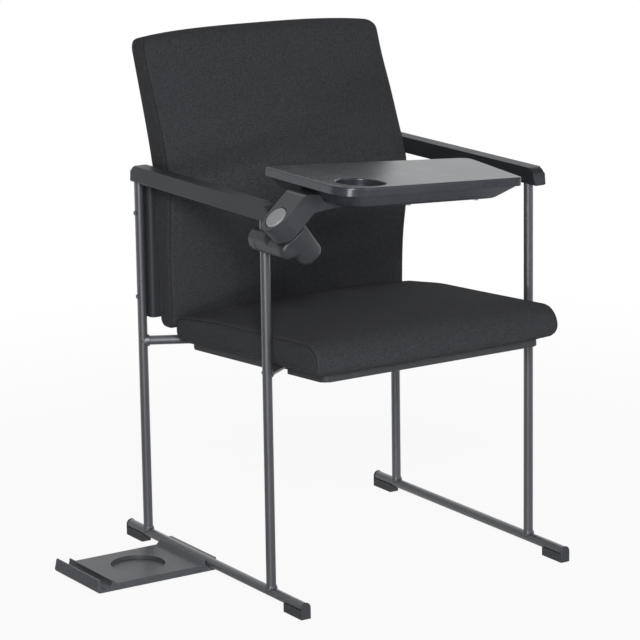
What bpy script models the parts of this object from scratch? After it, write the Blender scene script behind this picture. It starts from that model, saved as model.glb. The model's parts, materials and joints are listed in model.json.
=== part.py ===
"""Visitor chair: tube side frames, X brace, upholstered seat and back, folding tablet, row link.

Metres. +X is the sitter's left, -Y the front, +Z up. The origin is on the floor, midway between the
four uprights. The tablet and the row link belong to the sitter's right side frame.
"""

import math

import bmesh
import bpy
from mathutils import Matrix, Vector

# Fits
GAP = 0.0003  # between pieces that touch
TURN_GAP = 0.0005  # between pieces that turn on each other
PASS = 0.0004  # round a screw in its hole
OVERCUT = 0.02  # how far a cutter runs past the face it opens

# Side frames
TUBE_DIAMETER = 0.016
TUBE_WALL = 0.0015
FRAME_WIDTH = 0.516  # between the tube axes of the two side frames
UPRIGHT_SPACING = 0.401  # between the axes of a front and a rear upright
RUNNER_HEIGHT = 0.019
RUNNER_FRONT = 0.1055  # from the front upright axis to the face of the front foot
RUNNER_REAR = 0.0625
WELD_LEG = 0.002

# Feet
FOOT_LENGTH = 0.055
FOOT_SIDE = 0.0009  # foot material beside the tube
FOOT_CAP = 0.003
FOOT_PLUG = 0.016
FOOT_GRIP = 0.004  # the saddle ends this far below the tube axis

# Armrests
ARM_WIDTH = 0.024
ARM_HEIGHT = 0.029
ARM_RISE = 0.2617  # underside above the brace axes
ARM_FRONT = 0.0355  # lower tip, ahead of the front upright axis
ARM_REAR = 0.0125
ARM_SLANT = 0.009
ARM_END_ROUND = 0.014
ARM_FOOT_ROUND = 0.003
ARM_EDGE = 0.004
ARM_SOCKET = 0.018

# Seat, in a plane through the brace tubes that is tilted up at the front
SEAT_HEIGHT = 0.3713  # of the brace axes at the middle of the frame
SEAT_TILT = math.radians(3.65)
PAN_SIDE_INSET = 0.025  # under the cushion
PAN_FRONT_INSET = 0.027
PAN_REAR_INSET = 0.010
PAN_WALL = 0.0025
PAN_FLOOR = 0.002
PAN_CORNER = 0.012
NOTCH_WIDTH = 0.034
NOTCH_DEPTH = 0.024
BOARD_THICKNESS = 0.010
BOARD_MARGIN = 0.005  # board beyond the pan at the sides and the front
BOARD_REAR_MARGIN = 0.002
BOARD_CORNER = 0.020
SEAT_SIDE_GAP = 0.022  # from the side frame's axis to the cushion
SEAT_AHEAD = 0.1215  # front edge, ahead of the front uprights
SEAT_BEHIND = 0.052  # rear edge, ahead of the back's rear face
SEAT_SKIRT = 0.005  # lower edge of the cushion, below the board
SEAT_THICKNESS = 0.0555
SEAT_CROWN = 0.013
SEAT_WATERFALL = 0.034
SEAT_FALL = 0.009  # drop of the face towards the rear edge
SEAT_CORNER = 0.018
SEAT_REAR_ROUND = 0.016
SEAT_UNDER_ROUND = (0.012, 0.010)  # front and rear
SEAT_SIDE_ROUND = 0.011
SEAT_SCREW_REACH = 0.150  # from the middle of the brace
PAN_SCREW_FRONT = (0.061, 0.050)  # in from the side and from the front of the pan
PAN_SCREW_REAR = (0.161, 0.022)
BOSS_RADIUS = 0.005
TOOL_ROOM = 0.002  # round a screw head, for the driver

# Back
BACK_SIDE_GAP = 0.025  # from the side frame's axis to the pad
BACK_RISE = 0.0137  # lower edge above the brace axes
BACK_AHEAD = 0.0185  # rear face, ahead of the rear upright axes
BEND_DROP = 0.026  # start of the bend, below the armrests
BACK_BEND = 0.100  # radius of the bend at armrest height
BACK_LEAN = math.radians(18.5)
BACK_UPPER = 0.233  # length above the bend
BACK_BOW = 0.008  # rise of the top edge at the middle
BACK_THICKNESS = 0.045
BACK_CROWN = 0.013
BACK_CORNERS = (0.026, 0.024)  # below and above
BACK_FACE_ROUND = (0.018, 0.022)
BACK_REAR_ROUND = (0.008, 0.010)
BACK_SIDE_ROUND = (0.010, 0.009)  # at the face and at the rear
LUMBAR = (0.135, 0.110)  # height of the fullest part above the lower edge, and its spread
LUMBAR_WIDE = 0.007
LUMBAR_DEEP = 0.006
PANEL_THICKNESS = 0.006
PANEL_INSET = 0.014
PANEL_CORNER = 0.022

# Upholstery
SEAM = 0.0012  # depth of the pinch at a seam
SEAT_WAIST = 0.003  # how far the long sides of the seat draw in

# Back brackets
BRACKET_STEEL = 0.003
BRACKET_LIFT = 0.015  # above the lower edge of the back
BRACKET_CLEAR = 0.003  # below the bend of the back
BRACKET_DEPTH = 0.025
BRACKET_WEB = 0.062
BRACKET_BEND = 0.004
BRACKET_EDGE = 0.001
BRACKET_SCREWS = (0.036, 0.024)  # from the lower and the upper end of the bracket
BACK_SCREWS = (0.070, 0.054)
BACK_SCREW_INSET = 0.040  # from the flange to the screws in the panel

# Screws: head radius, head height, shank radius
FRAME_SCREW = (0.0038, 0.0014, 0.0025)
SEAT_SCREW = (0.0055, 0.0030, 0.0029)
SMALL_SCREW = (0.0040, 0.0020, 0.0019)

# Tablet pivot on the right front upright
PIVOT_RISE = 0.017  # top of the swing arm on the pivot axis, above the armrest's underside
PIVOT_OUT = 0.019  # outboard of the side frame
PIVOT_CLEAR = 0.002  # between the armrest tip and the swing arm
ELBOW_RADIUS = 0.028
ELBOW_THICKNESS = 0.033
ELBOW_EDGE = 0.003
SHOULDER_RUN = 0.052  # from the pivot to the bend of the arm, along its face
SHOULDER_ROUND = 0.012
SOCKET_LENGTH = 0.096  # from the top of the arm to the end of the socket
SOCKET_TOP = 0.0272
SOCKET_END = 0.021
SOCKET_ROUND = 0.007
SOCKET_SPARE = 0.004  # moulded past the face, then cut flat
WASHER_THICKNESS = 0.002
WASHER_RADIUS = 0.025
CAP_RADIUS = 0.020
CAP_SINK = 0.004
CAP_PROUD = 0.0022
CAP_EDGE = 0.0015
PIVOT_BOLT = (0.0125, 0.004, 0.007)  # head radius, head height, shank radius
BOLT_HOLD = 0.030  # length of the bolt in the socket
BOLT_CHAMFER = 0.001
SPRING_THICKNESS = 0.0015
BARREL_RADIUS = 0.0195
BARREL_DROP = 0.032  # barrel axis, below the armrest's underside
BARREL_ROUND = 0.012
CLAMP_REAR = 0.0205  # from the upright axis to the rear face
CLAMP_SPLIT = 0.0008
CLAMP_EDGE = 0.003
CLAMP_BOLT = (0.0040, 0.0040, 0.0022)
CLAMP_BOLT_OUT = 0.0125  # from the upright axis to a bolt
CLAMP_BOLT_LENGTH = 0.024

# Tablet
TABLET_DROOP = math.radians(4.4)  # towards the free end
TABLET_RISE = 0.0575  # top at the outer edge, above the pivot
TABLET_INSIDE = 0.033  # outer edge, inboard of the side frame
TABLET_LENGTH = 0.402
TABLET_BACK = 0.121  # rear edge, behind the pivot
TABLET_FRONT = 0.122
TABLET_TAPER = 0.035  # front edge, further back at the free end
TABLET_SKEW = 0.041  # front free corner, inboard of the rear one
TABLET_CORNERS = (0.042, 0.012, 0.018, 0.012)  # from the outer front corner, anticlockwise
TABLET_EDGE = 0.014
TABLET_EDGE_ROUND = 0.0025
TABLET_SKIN = 0.005
TABLET_BELLY = 0.036
BELLY_INSET = 0.005
BELLY_SLOPES = (0.022, 0.045)  # run of the slope at the outer and the free end
BELLY_SIDE_SLOPE = 0.022  # and at the front and the rear
BELLY_SHELL = 0.003
CUP_RADIUS = 0.039
CUP_DEPTH = 0.0145
CUP_WALL = 0.0025
CUP_ROUND = 0.002
CUP_CHAMFER = 0.001
CUP_PLACE = (0.065, 0.059)  # from the outer edge and the front edge
FLANGE_END = 0.100  # end of the arm's foot, from the outer edge
FLANGE_HALF = 0.025
FLANGE_THICKNESS = 0.006
FLANGE_SAG = 0.012  # extra depth of the foot at the outer edge
FLANGE_LAP = 0.010  # foot material that the belly's form trims away
ARM_SCREWS = (0.058, 0.084)  # from the outer edge
ARM_SCREW_OUT = 0.015
TABLET_SCREWS = ((0.058, 0.080), (0.325, 0.080), (0.290, -0.060), (0.150, -0.074))
POST_RADIUS = 0.0045

# Row link on the right runner
LINK_LENGTH = 0.148
LINK_MIDDLE = 0.068  # behind the middle of the frame
LINK_PITCH = 0.197  # from runner to the neighbour's runner
LINK_FLOOR = 0.0025  # underside above the floor
LINK_PLATE = 0.012
LINK_LIP = 0.0035
LINK_SLOPE = 0.006  # run of the slope up to a lip
LINK_FOOT = 0.0035  # lip wider at its foot
LINK_CLIP_OUTER = 0.0035  # lip tops above the runner axis
LINK_CLIP_INNER = 0.0055
LINK_CHANNEL = 0.0105
LINK_CHANNEL_DROP = 0.002  # middle of the channel's round, below the runner axis
LINK_CHANNEL_INNER = 0.0015
LINK_CORNER = 0.006  # lower edge outside the channel
LINK_LIP_ROUND = 0.0015
LINK_RECESS_RADIUS = 0.0455
LINK_RECESS_OUT = 0.096
LINK_RECESS_DEPTH = 0.006
LINK_RIB = 0.006
LINK_POCKET = 0.003

# Derived
TUBE_RADIUS = TUBE_DIAMETER / 2
BORE_RADIUS = TUBE_RADIUS - TUBE_WALL
HALF_WIDTH = FRAME_WIDTH / 2
HALF_DEPTH = UPRIGHT_SPACING / 2
SIDES = {"right": -1, "left": 1}
ENDS = {"front": -1, "rear": 1}
ARM_BOTTOM = SEAT_HEIGHT + ARM_RISE
BACK_BOTTOM = SEAT_HEIGHT + BACK_RISE
BACK_LOWER = ARM_RISE - BEND_DROP - BACK_RISE
BACK_REAR = HALF_DEPTH - BACK_AHEAD
BACK_WIDTH = FRAME_WIDTH - 2 * BACK_SIDE_GAP
SEAT_WIDTH = FRAME_WIDTH - 2 * SEAT_SIDE_GAP
SEAT_FRONT = HALF_DEPTH + SEAT_AHEAD
SEAT_REAR = BACK_REAR - SEAT_BEHIND
PAN_WIDTH = SEAT_WIDTH - 2 * PAN_SIDE_INSET
PAN_FRONT = SEAT_FRONT - PAN_FRONT_INSET
PAN_REAR = SEAT_REAR - PAN_REAR_INSET
SEAT_FRAME = Matrix.Translation((0, 0, SEAT_HEIGHT)) @ Matrix.Rotation(-SEAT_TILT, 4, "X")
BRACE_Y = HALF_DEPTH / math.cos(SEAT_TILT)
BRACE_HALF = math.hypot(HALF_WIDTH, BRACE_Y)
BOARD_LOW = TUBE_RADIUS + GAP
BOARD_HIGH = BOARD_LOW + BOARD_THICKNESS
PAN_LOW = -TUBE_RADIUS - 2 * GAP - PAN_FLOOR
BRACKET_BOTTOM = BACK_BOTTOM + BRACKET_LIFT
BRACKET_TOP = BACK_BOTTOM + BACK_LOWER - BRACKET_CLEAR
BACK_LENGTH = BACK_LOWER + BACK_BEND * BACK_LEAN + BACK_UPPER
PIVOT_HEIGHT = ARM_BOTTOM + PIVOT_RISE
BARREL_HEIGHT = ARM_BOTTOM - BARREL_DROP
TABLET_HEIGHT = PIVOT_HEIGHT + TABLET_RISE
PIVOT_TILT = math.pi / 4 - TABLET_DROOP / 2
PIVOT_Y = -(HALF_DEPTH + ARM_FRONT + PIVOT_CLEAR + ELBOW_RADIUS)
PIVOT = Matrix.Translation((-HALF_WIDTH - PIVOT_OUT, PIVOT_Y, PIVOT_HEIGHT)) @ Matrix.Rotation(
    -PIVOT_TILT, 4, "Y"
)
TABLET = Matrix.Translation((TABLET_INSIDE - HALF_WIDTH, PIVOT_Y, TABLET_HEIGHT)) @ Matrix.Rotation(
    TABLET_DROOP, 4, "Y"
)
SOCKET_FACE = -ELBOW_THICKNESS - WASHER_THICKNESS - 2 * GAP
TABLET_SCREW_LENGTH = (TABLET_BELLY - TABLET_SKIN) * 0.7
ARM_SCREW_LENGTH = BELLY_SHELL + 2 * GAP + FLANGE_THICKNESS * 0.7

# Axes of a flat outline turned into the piece's own plane
SIDE_ON = Matrix(((0, 0, 1, 0), (1, 0, 0, 0), (0, 1, 0, 0), (0, 0, 0, 1)))
FRONT_ON = Matrix.Rotation(math.pi / 2, 4, "X")


def clear_scene():
    for old in list(bpy.data.objects):
        bpy.data.objects.remove(old, do_unlink=True)


def finish(name, colour, roughness, metallic=0.0):
    material = bpy.data.materials.new(name)
    material.use_nodes = True
    shader = material.node_tree.nodes["Principled BSDF"]
    shader.inputs["Base Color"].default_value = (*colour, 1.0)
    shader.inputs["Roughness"].default_value = roughness
    shader.inputs["Metallic"].default_value = metallic
    material.diffuse_color = (*colour, 1.0)
    return material


def shape(name, bm, material, matrix=None, parent=None):
    """A mesh object with outward faces, smooth where it is round."""
    bmesh.ops.recalc_face_normals(bm, faces=bm.faces)
    mesh = bpy.data.meshes.new(name)
    bm.to_mesh(mesh)
    bm.free()
    mesh.shade_smooth()
    mesh.set_sharp_from_angle(angle=math.radians(32))
    mesh.materials.append(material)
    obj = bpy.data.objects.new(name, mesh)
    bpy.context.scene.collection.objects.link(obj)
    obj.parent = parent
    obj.matrix_basis = matrix or Matrix()
    return obj


def cutter(bm, matrix=None, parent=None):
    obj = shape("cutter", bm, FINISH["steel"], matrix, parent)
    obj.hide_render = True
    obj.display_type = "WIRE"
    return obj


def combine(obj, operation, tool):
    modifier = obj.modifiers.new(operation.lower(), "BOOLEAN")
    modifier.operation = operation
    modifier.solver = "EXACT"
    modifier.object = tool


def cut(obj, *tools):
    for tool in tools:
        combine(obj, "DIFFERENCE", tool)


def join(obj, *tools):
    for tool in tools:
        combine(obj, "UNION", tool)


def axle(name, matrix):
    """An empty that carries pieces in their own frame."""
    empty = bpy.data.objects.new(name, None)
    empty.empty_display_size = 0.05
    empty.matrix_basis = matrix
    bpy.context.scene.collection.objects.link(empty)
    return empty


def facing(point, direction):
    """A frame at the point whose Z runs along the direction."""
    turn = Vector(direction).to_track_quat("Z", "Y").to_matrix().to_4x4()
    return Matrix.Translation(point) @ turn


def turned(profile, steps=20):
    """A (radius, height) outline spun about Z: closed, or open from axis to axis."""
    bm = bmesh.new()
    points = [bm.verts.new((radius, 0, height)) for radius, height in profile]
    ends = list(zip(points, points[1:]))
    if profile[0][0] > 0:
        ends.append((points[-1], points[0]))
    lines = [bm.edges.new(pair) for pair in ends]
    bmesh.ops.spin(
        bm, geom=points + lines, cent=(0, 0, 0), axis=(0, 0, 1), angle=2 * math.pi, steps=steps,
        use_merge=True,
    )
    bmesh.ops.remove_doubles(bm, verts=bm.verts, dist=1e-6)
    return bm


def rod(radius, low, high, steps=20):
    return turned([(0, low), (radius, low), (radius, high), (0, high)], steps)


def loft(rings):
    """A closed skin over rings that all have the same number of points."""
    bm = bmesh.new()
    rows = [[bm.verts.new(point) for point in ring] for ring in rings]
    for lower, upper in zip(rows, rows[1:]):
        for i in range(len(lower)):
            j = (i + 1) % len(lower)
            bm.faces.new((lower[i], lower[j], upper[j], upper[i]))
    bm.faces.new(rows[0])
    bm.faces.new(rows[-1])
    return bm


def prism(outline, low, high):
    return loft([[(x, y, z) for x, y in outline] for z in (low, high)])


def box(x, y, z):
    outline = [(x[0], y[0]), (x[1], y[0]), (x[1], y[1]), (x[0], y[1])]
    return prism(outline, *z)


def arc(centre, radius, start, end, steps):
    """Points of an arc, angles in degrees."""
    turns = [math.radians(start + (end - start) * i / steps) for i in range(steps + 1)]
    return [(centre[0] + radius * math.cos(a), centre[1] + radius * math.sin(a)) for a in turns]


def outline(corners, inset=0.0, steps=5):
    """A rounded polygon from anticlockwise (x, y, radius) corners, moved inwards by the inset."""
    points = []
    for i, (x, y, radius) in enumerate(corners):
        here = Vector((x, y))
        into = (here - Vector(corners[i - 1][:2])).normalized()
        away = (Vector(corners[(i + 1) % len(corners)][:2]) - here).normalized()
        left_in, left_out = (Vector((-d.y, d.x)) for d in (into, away))
        here += inset * (left_in + left_out) / (1 + left_in.dot(left_out))
        radius = max(radius - inset, 0.001)
        turn = into.angle_signed(away) * -1
        reach = radius * math.tan(abs(turn) / 2)
        centre = here - into * reach + left_in * math.copysign(radius, turn)
        start = here - into * reach - centre
        for k in range(steps + 1):
            spin = Matrix.Rotation(turn * k / steps, 2)
            points.append(tuple(centre + spin @ start))
    return points


def rectangle(x, y, radius):
    return [(x[0], y[0], radius), (x[1], y[0], radius), (x[1], y[1], radius), (x[0], y[1], radius)]


def gathered(solids):
    """Several solids as one mesh."""
    whole = bmesh.new()
    for bm in solids:
        mesh = bpy.data.meshes.new("part")
        bmesh.ops.recalc_face_normals(bm, faces=bm.faces)
        bm.to_mesh(mesh)
        bm.free()
        whole.from_mesh(mesh)
        bpy.data.meshes.remove(mesh)
    return whole


def rods(places, radius, low, high, steps=8):
    """Equal rods along the Z axes of the places."""
    solids = []
    for place in places:
        solids.append(rod(radius, low, high, steps))
        solids[-1].transform(place)
    return gathered(solids)


def screws(name, places, size, length, parent=None):
    """Equal socket screws: the seat of each head is at its place, the shank runs down its Z."""
    head, height, shank = size
    profile = [(0, -length), (shank, -length), (shank, 0), (head, 0)]
    profile += [(head, height * 0.5), (head * 0.8, height), (0, height)]
    first = shape(f"{name}_1", turned(profile, 8), FINISH["steel"], places[0], parent)
    for number, place in enumerate(places[1:], 2):
        copy = bpy.data.objects.new(f"{name}_{number}", first.data)
        bpy.context.scene.collection.objects.link(copy)
        copy.parent = parent
        copy.matrix_basis = place


def tube(low, high, welds=()):
    """Tube along Z. A weld is the height of the axis that this end meets."""
    skin = [(TUBE_RADIUS, low), (TUBE_RADIUS, high)]
    for place in welds:
        inward = 1 if place < (low + high) / 2 else -1
        leg = [
            (TUBE_RADIUS + WELD_LEG, low if inward > 0 else high),
            (TUBE_RADIUS + WELD_LEG, place + inward * TUBE_RADIUS),
            (TUBE_RADIUS, place + inward * (TUBE_RADIUS + 2 * WELD_LEG)),
        ]
        skin = leg + skin[1:] if inward > 0 else skin[:-1] + leg[::-1]
    return turned([(BORE_RADIUS, low)] + skin + [(BORE_RADIUS, high)], 16)


def drop(distance, radius):
    """How far a rounded edge has fallen at this distance from the end."""
    short = max(radius - distance, 0)
    return radius - math.sqrt(radius * radius - short * short)


def pad(
    width, length, thickness, crown, plan, face, rear, side, waist=0, fall=0, bow=0, swell=(0, 0), folds=(),
):
    """An upholstered form lofted along Y, resting on Z = 0, with a seam under the edge of its face.

    plan, face and rear give the rounding at the start and the end: of the corners, of the face and
    of the underside. side gives the rounding of the long edges, above and below. waist draws the long
    sides in, fall lowers the face towards the end, bow lifts the end in the middle, and swell adds to
    half the width and to the thickness at the lumbar height. folds are rows where the form will bend.
    """
    first, last = max(plan[0], face[0]), max(plan[1], face[1])
    ramp = [1 - math.cos(math.radians(15 * i)) for i in range(6)]
    rows = [first * k for k in ramp]
    rows += [first + (length - first - last) * i / 8 for i in range(9)]
    rows += [length - last * k for k in reversed(ramp)]
    rings = []
    for y in sorted(rows + list(folds)):
        end = length - y
        full = math.exp(-(((y - LUMBAR[0]) / LUMBAR[1]) ** 2))
        near_end = max(0, 1 - end / (length / 4)) ** 2
        half = width / 2 - waist * math.sin(math.pi * y / length) + swell[0] * full
        half -= max(drop(y, plan[0]), drop(end, plan[1]))
        top = thickness + swell[1] * full - fall * near_end
        top -= max(drop(y, face[0]), drop(end, face[1]))
        low = max(drop(y, rear[0]), drop(end, rear[1]))
        ease = 1 - max(0, 1 - min(y, end) / (length / 4)) ** 2
        over, under = (min(radius, (top - low) * 0.3) for radius in side)
        pinch = min(SEAM, (top - low) * 0.08)
        edge = top - over
        sideways = [(0, low), (half * 0.5, low), (half - under, low)]
        sideways += arc((half - under, low + under), under, -60, 0, 2)
        sideways += [(half, edge - 2 * pinch), (half - pinch, edge - pinch), (half, edge)]
        sideways += arc((half - over, edge), over, 30, 90, 2)
        inner = half - over
        sideways += [
            (inner * (1 - k / 5), top + crown * ease * (1 - (1 - k / 5) ** 2)) for k in range(1, 6)
        ]
        ring = sideways + [(-x, z) for x, z in sideways[-2:0:-1]]
        lift = bow * near_end
        rings.append([(x, y + lift * (1 - (2 * x / width) ** 2), z) for x, z in ring])
    return loft(rings)


def along_back(bm):
    """Carries a flat form, Y up the back and Z forwards, onto the bent line of the back."""
    for vertex in bm.verts:
        x, run, out = vertex.co
        angle = min(max((run - BACK_LOWER) / BACK_BEND, 0), BACK_LEAN)
        above = run - BACK_LOWER - BACK_BEND * angle
        y = BACK_REAR + BACK_BEND * (1 - math.cos(angle)) + above * math.sin(angle)
        z = BACK_BOTTOM + BACK_LOWER + BACK_BEND * math.sin(angle) + above * math.cos(angle)
        vertex.co = (x, y - out * math.cos(angle), z + out * math.sin(angle))
    return bm


def back_folds(steps):
    """Places up the back, from the start of its bend to the end."""
    return [BACK_LOWER + BACK_BEND * BACK_LEAN * i / steps for i in range(steps + 1)]


def runner(side):
    """Floor tube of one side frame; its ends stop inside the feet."""
    front = HALF_DEPTH + RUNNER_FRONT - FOOT_CAP - GAP
    rear = HALF_DEPTH + RUNNER_REAR - FOOT_CAP - GAP
    place = facing((SIDES[side] * HALF_WIDTH, 0, RUNNER_HEIGHT), (0, -1, 0))
    return shape("runner_" + side, tube(-rear, front), FINISH["powder_coat"], place)


def runner_space(side):
    place = facing((SIDES[side] * HALF_WIDTH, 0, RUNNER_HEIGHT), (0, -1, 0))
    return cutter(rod(TUBE_RADIUS + GAP, -1, 1), place)


def upright(end, side):
    """Standing tube, coped and welded on the runner below and open in the armrest socket above."""
    low = RUNNER_HEIGHT + WELD_LEG
    place = Matrix.Translation((SIDES[side] * HALF_WIDTH, ENDS[end] * HALF_DEPTH, 0))
    bm = tube(low, ARM_BOTTOM + ARM_SOCKET, [RUNNER_HEIGHT])
    return shape(f"{end}_upright_{side}", bm, FINISH["powder_coat"], place)


def upright_space(end, side, low, high):
    place = Matrix.Translation((SIDES[side] * HALF_WIDTH, ENDS[end] * HALF_DEPTH, 0))
    return cutter(rod(TUBE_RADIUS + GAP, low, high), place)


def foot(end, side):
    """Moulded foot: saddle under the tube, end cap and a plug in the tube's bore."""
    half = TUBE_RADIUS + FOOT_SIDE
    reach = HALF_DEPTH + (RUNNER_FRONT if end == "front" else RUNNER_REAR)
    place = Matrix.Translation((SIDES[side] * HALF_WIDTH, ENDS[end] * reach, 0))
    if end == "rear":
        place = place @ Matrix.Rotation(math.pi, 4, "Z")
    place = place @ FRONT_ON
    section = [(-half, 0), (half, 0)] + arc((0, RUNNER_HEIGHT), half, 0, 180, 8)
    bm = prism(section, -FOOT_LENGTH, 0)
    rim = [e for e in bm.edges if all(abs(v.co.z) < 1e-6 for v in e.verts)]
    bmesh.ops.bevel(bm, geom=rim, offset=FOOT_CAP * 0.4, segments=2, profile=0.5, affect="EDGES")
    obj = shape(f"foot_{end}_{side}", bm, FINISH["foot_plastic"], place)
    seat = Matrix.Translation((0, RUNNER_HEIGHT, 0))
    inner = -FOOT_LENGTH - OVERCUT
    cut(obj, cutter(rod(TUBE_RADIUS + GAP, inner, -FOOT_CAP), place @ seat))
    top = (RUNNER_HEIGHT - FOOT_GRIP, RUNNER_HEIGHT + 2 * half)
    cut(obj, cutter(box((-2 * half, 2 * half), top, (inner, -FOOT_CAP)), place))
    plug = rod(BORE_RADIUS - GAP, -FOOT_CAP - FOOT_PLUG, -FOOT_CAP * 0.6)
    join(obj, cutter(plug, place @ seat))
    return obj


def armrest(side, sockets):
    """Solid moulded rest with slanted, rounded ends and a blind socket for each upright."""
    front, rear = -HALF_DEPTH - ARM_FRONT, HALF_DEPTH + ARM_REAR
    top = ARM_BOTTOM + ARM_HEIGHT
    corners = [
        (front, ARM_BOTTOM, ARM_FOOT_ROUND), (rear, ARM_BOTTOM, ARM_FOOT_ROUND),
        (rear - ARM_SLANT, top, ARM_END_ROUND), (front + ARM_SLANT, top, ARM_END_ROUND),
    ]
    bm = prism(outline(corners), -ARM_WIDTH / 2, ARM_WIDTH / 2)
    rim = [e for e in bm.edges if abs(e.verts[0].co.z - e.verts[1].co.z) < 1e-6]
    bmesh.ops.bevel(bm, geom=rim, offset=ARM_EDGE, segments=2, profile=0.5, affect="EDGES")
    place = Matrix.Translation((SIDES[side] * HALF_WIDTH, 0, 0)) @ SIDE_ON
    obj = shape("armrest_" + side, bm, FINISH["charcoal_plastic"], place)
    cut(obj, *sockets)
    return obj


def brace_line(x_sign, y_sign):
    """Frame of a brace tube: Z from the middle of the brace towards one upright, in seat axes."""
    return facing((0, 0, 0), (x_sign * HALF_WIDTH, y_sign * BRACE_Y, 0))


def brace_tube(name, line, low, parent):
    """Brace tube in the seat plane, with weld collars at the uprights that it meets."""
    reach = BRACE_HALF - WELD_LEG
    welds = (-BRACE_HALF, BRACE_HALF) if low < 0 else (BRACE_HALF,)
    return shape(name, tube(low, reach, welds), FINISH["powder_coat"], line, parent)


def seat_screw_places():
    """Under the brace tubes, heads down, in seat axes."""
    places = []
    for x in (-1, 1):
        for y in (-1, 1):
            spot = brace_line(x, y) @ Vector((0, 0, SEAT_SCREW_REACH))
            places.append(facing((spot.x, spot.y, -TUBE_RADIUS - GAP), (0, 0, -1)))
    return places


def pan_screw_places():
    """Under the pan floor, heads down, in seat axes."""
    front = (PAN_WIDTH / 2 - PAN_SCREW_FRONT[0], PAN_SCREW_FRONT[1] - PAN_FRONT)
    rear = (PAN_WIDTH / 2 - PAN_SCREW_REAR[0], PAN_REAR - PAN_SCREW_REAR[1])
    spots = [(sign * x, y) for x, y in (front, rear) for sign in (-1, 1)]
    return [facing((x, y, PAN_LOW - GAP), (0, 0, -1)) for x, y in spots]


def seat_pan(parent):
    """Moulded pan: floor, upright rim, screw bosses, and notches where the brace passes the rim."""
    half = PAN_WIDTH / 2
    corners = rectangle((-half, half), (-PAN_FRONT, PAN_REAR), PAN_CORNER)
    bm = prism(outline(corners), PAN_LOW, BOARD_LOW - GAP)
    rim = [e for e in bm.edges if all(abs(v.co.z - PAN_LOW) < 1e-6 for v in e.verts)]
    bmesh.ops.bevel(bm, geom=rim, offset=PAN_WALL * 0.8, segments=2, profile=0.5, affect="EDGES")
    obj = shape("seat_pan", bm, FINISH["pan_plastic"], None, parent)
    inside = prism(outline(corners, PAN_WALL), PAN_LOW + PAN_FLOOR, BOARD_LOW + OVERCUT)
    cut(obj, cutter(inside, None, parent))
    rise = BOARD_LOW - PAN_LOW
    bosses = rods(pan_screw_places(), BOSS_RADIUS, -rise, -PAN_FLOOR * 0.5 - GAP)
    join(obj, cutter(bosses, None, parent))
    shank = SMALL_SCREW[2] + PASS
    cut(obj, cutter(rods(pan_screw_places(), shank, -rise - OVERCUT, OVERCUT), None, parent))
    access = rods(seat_screw_places(), SEAT_SCREW[0] + TOOL_ROOM, -GAP, OVERCUT)
    cut(obj, cutter(access, None, parent))
    for x in (-1, 1):
        for y in (-1, 1):
            wall = PAN_FRONT if y < 0 else PAN_REAR
            exit_at = min(half / HALF_WIDTH, wall / BRACE_Y) * BRACE_HALF
            span = (exit_at - NOTCH_DEPTH, exit_at + NOTCH_DEPTH)
            across = (-NOTCH_WIDTH / 2, NOTCH_WIDTH / 2)
            notch = box((-NOTCH_WIDTH, NOTCH_WIDTH), across, span)
            cut(obj, cutter(notch, brace_line(x, y) @ Matrix.Rotation(math.pi / 2, 4, "Z"), parent))
    return obj


def board_solid(margin, low, high):
    half = PAN_WIDTH / 2 + BOARD_MARGIN
    spread = (-PAN_FRONT - BOARD_MARGIN, PAN_REAR + BOARD_REAR_MARGIN)
    return prism(outline(rectangle((-half, half), spread, BOARD_CORNER), -margin), low, high)


def seat_board(parent):
    """Plywood board of the seat, screwed on the brace tubes."""
    obj = shape("seat_board", board_solid(0, BOARD_LOW, BOARD_HIGH), FINISH["plywood"], None, parent)
    deep = TUBE_DIAMETER + BOARD_THICKNESS + OVERCUT
    cut(obj, cutter(rods(seat_screw_places(), SEAT_SCREW[2] + PASS, -deep, 0), None, parent))
    cut(obj, cutter(rods(pan_screw_places(), SMALL_SCREW[2] + PASS, -deep * 2, 0), None, parent))
    return obj


def seat_cushion(parent, brace_spaces):
    """Seat upholstery with a waterfall front, hollow below for the board and grooved for the brace."""
    bm = pad(
        SEAT_WIDTH, SEAT_FRONT + SEAT_REAR, SEAT_THICKNESS, SEAT_CROWN,
        plan=(SEAT_CORNER, SEAT_CORNER), face=(SEAT_WATERFALL, SEAT_REAR_ROUND),
        rear=SEAT_UNDER_ROUND, side=(SEAT_SIDE_ROUND, SEAT_SIDE_ROUND), waist=SEAT_WAIST, fall=SEAT_FALL,
    )
    low = BOARD_LOW - SEAT_SKIRT
    place = Matrix.Translation((0, -SEAT_FRONT, low))
    obj = shape("seat_cushion", bm, FINISH["fabric"], place, parent)
    cut(obj, cutter(board_solid(GAP, low - OVERCUT, BOARD_HIGH + GAP), None, parent))
    cut(obj, *brace_spaces)
    return obj


def panel_solid(margin, low, high):
    half = BACK_WIDTH / 2 - PANEL_INSET
    corners = rectangle((-half, half), (PANEL_INSET, BACK_LENGTH - PANEL_INSET), PANEL_CORNER)
    bm = prism(outline(corners, -margin), low, high)
    for run in back_folds(6):
        parts = bm.verts[:] + bm.edges[:] + bm.faces[:]
        bmesh.ops.bisect_plane(bm, geom=parts, plane_co=(0, run, 0), plane_no=(0, 1, 0))
    return along_back(bm)


def back_panel(screw_holes):
    """Bent plywood panel behind the padding, covered in the same cloth; the brackets screw into it."""
    obj = shape("back_panel", panel_solid(0, 0, PANEL_THICKNESS), FINISH["fabric"])
    cut(obj, screw_holes)
    return obj


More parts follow.
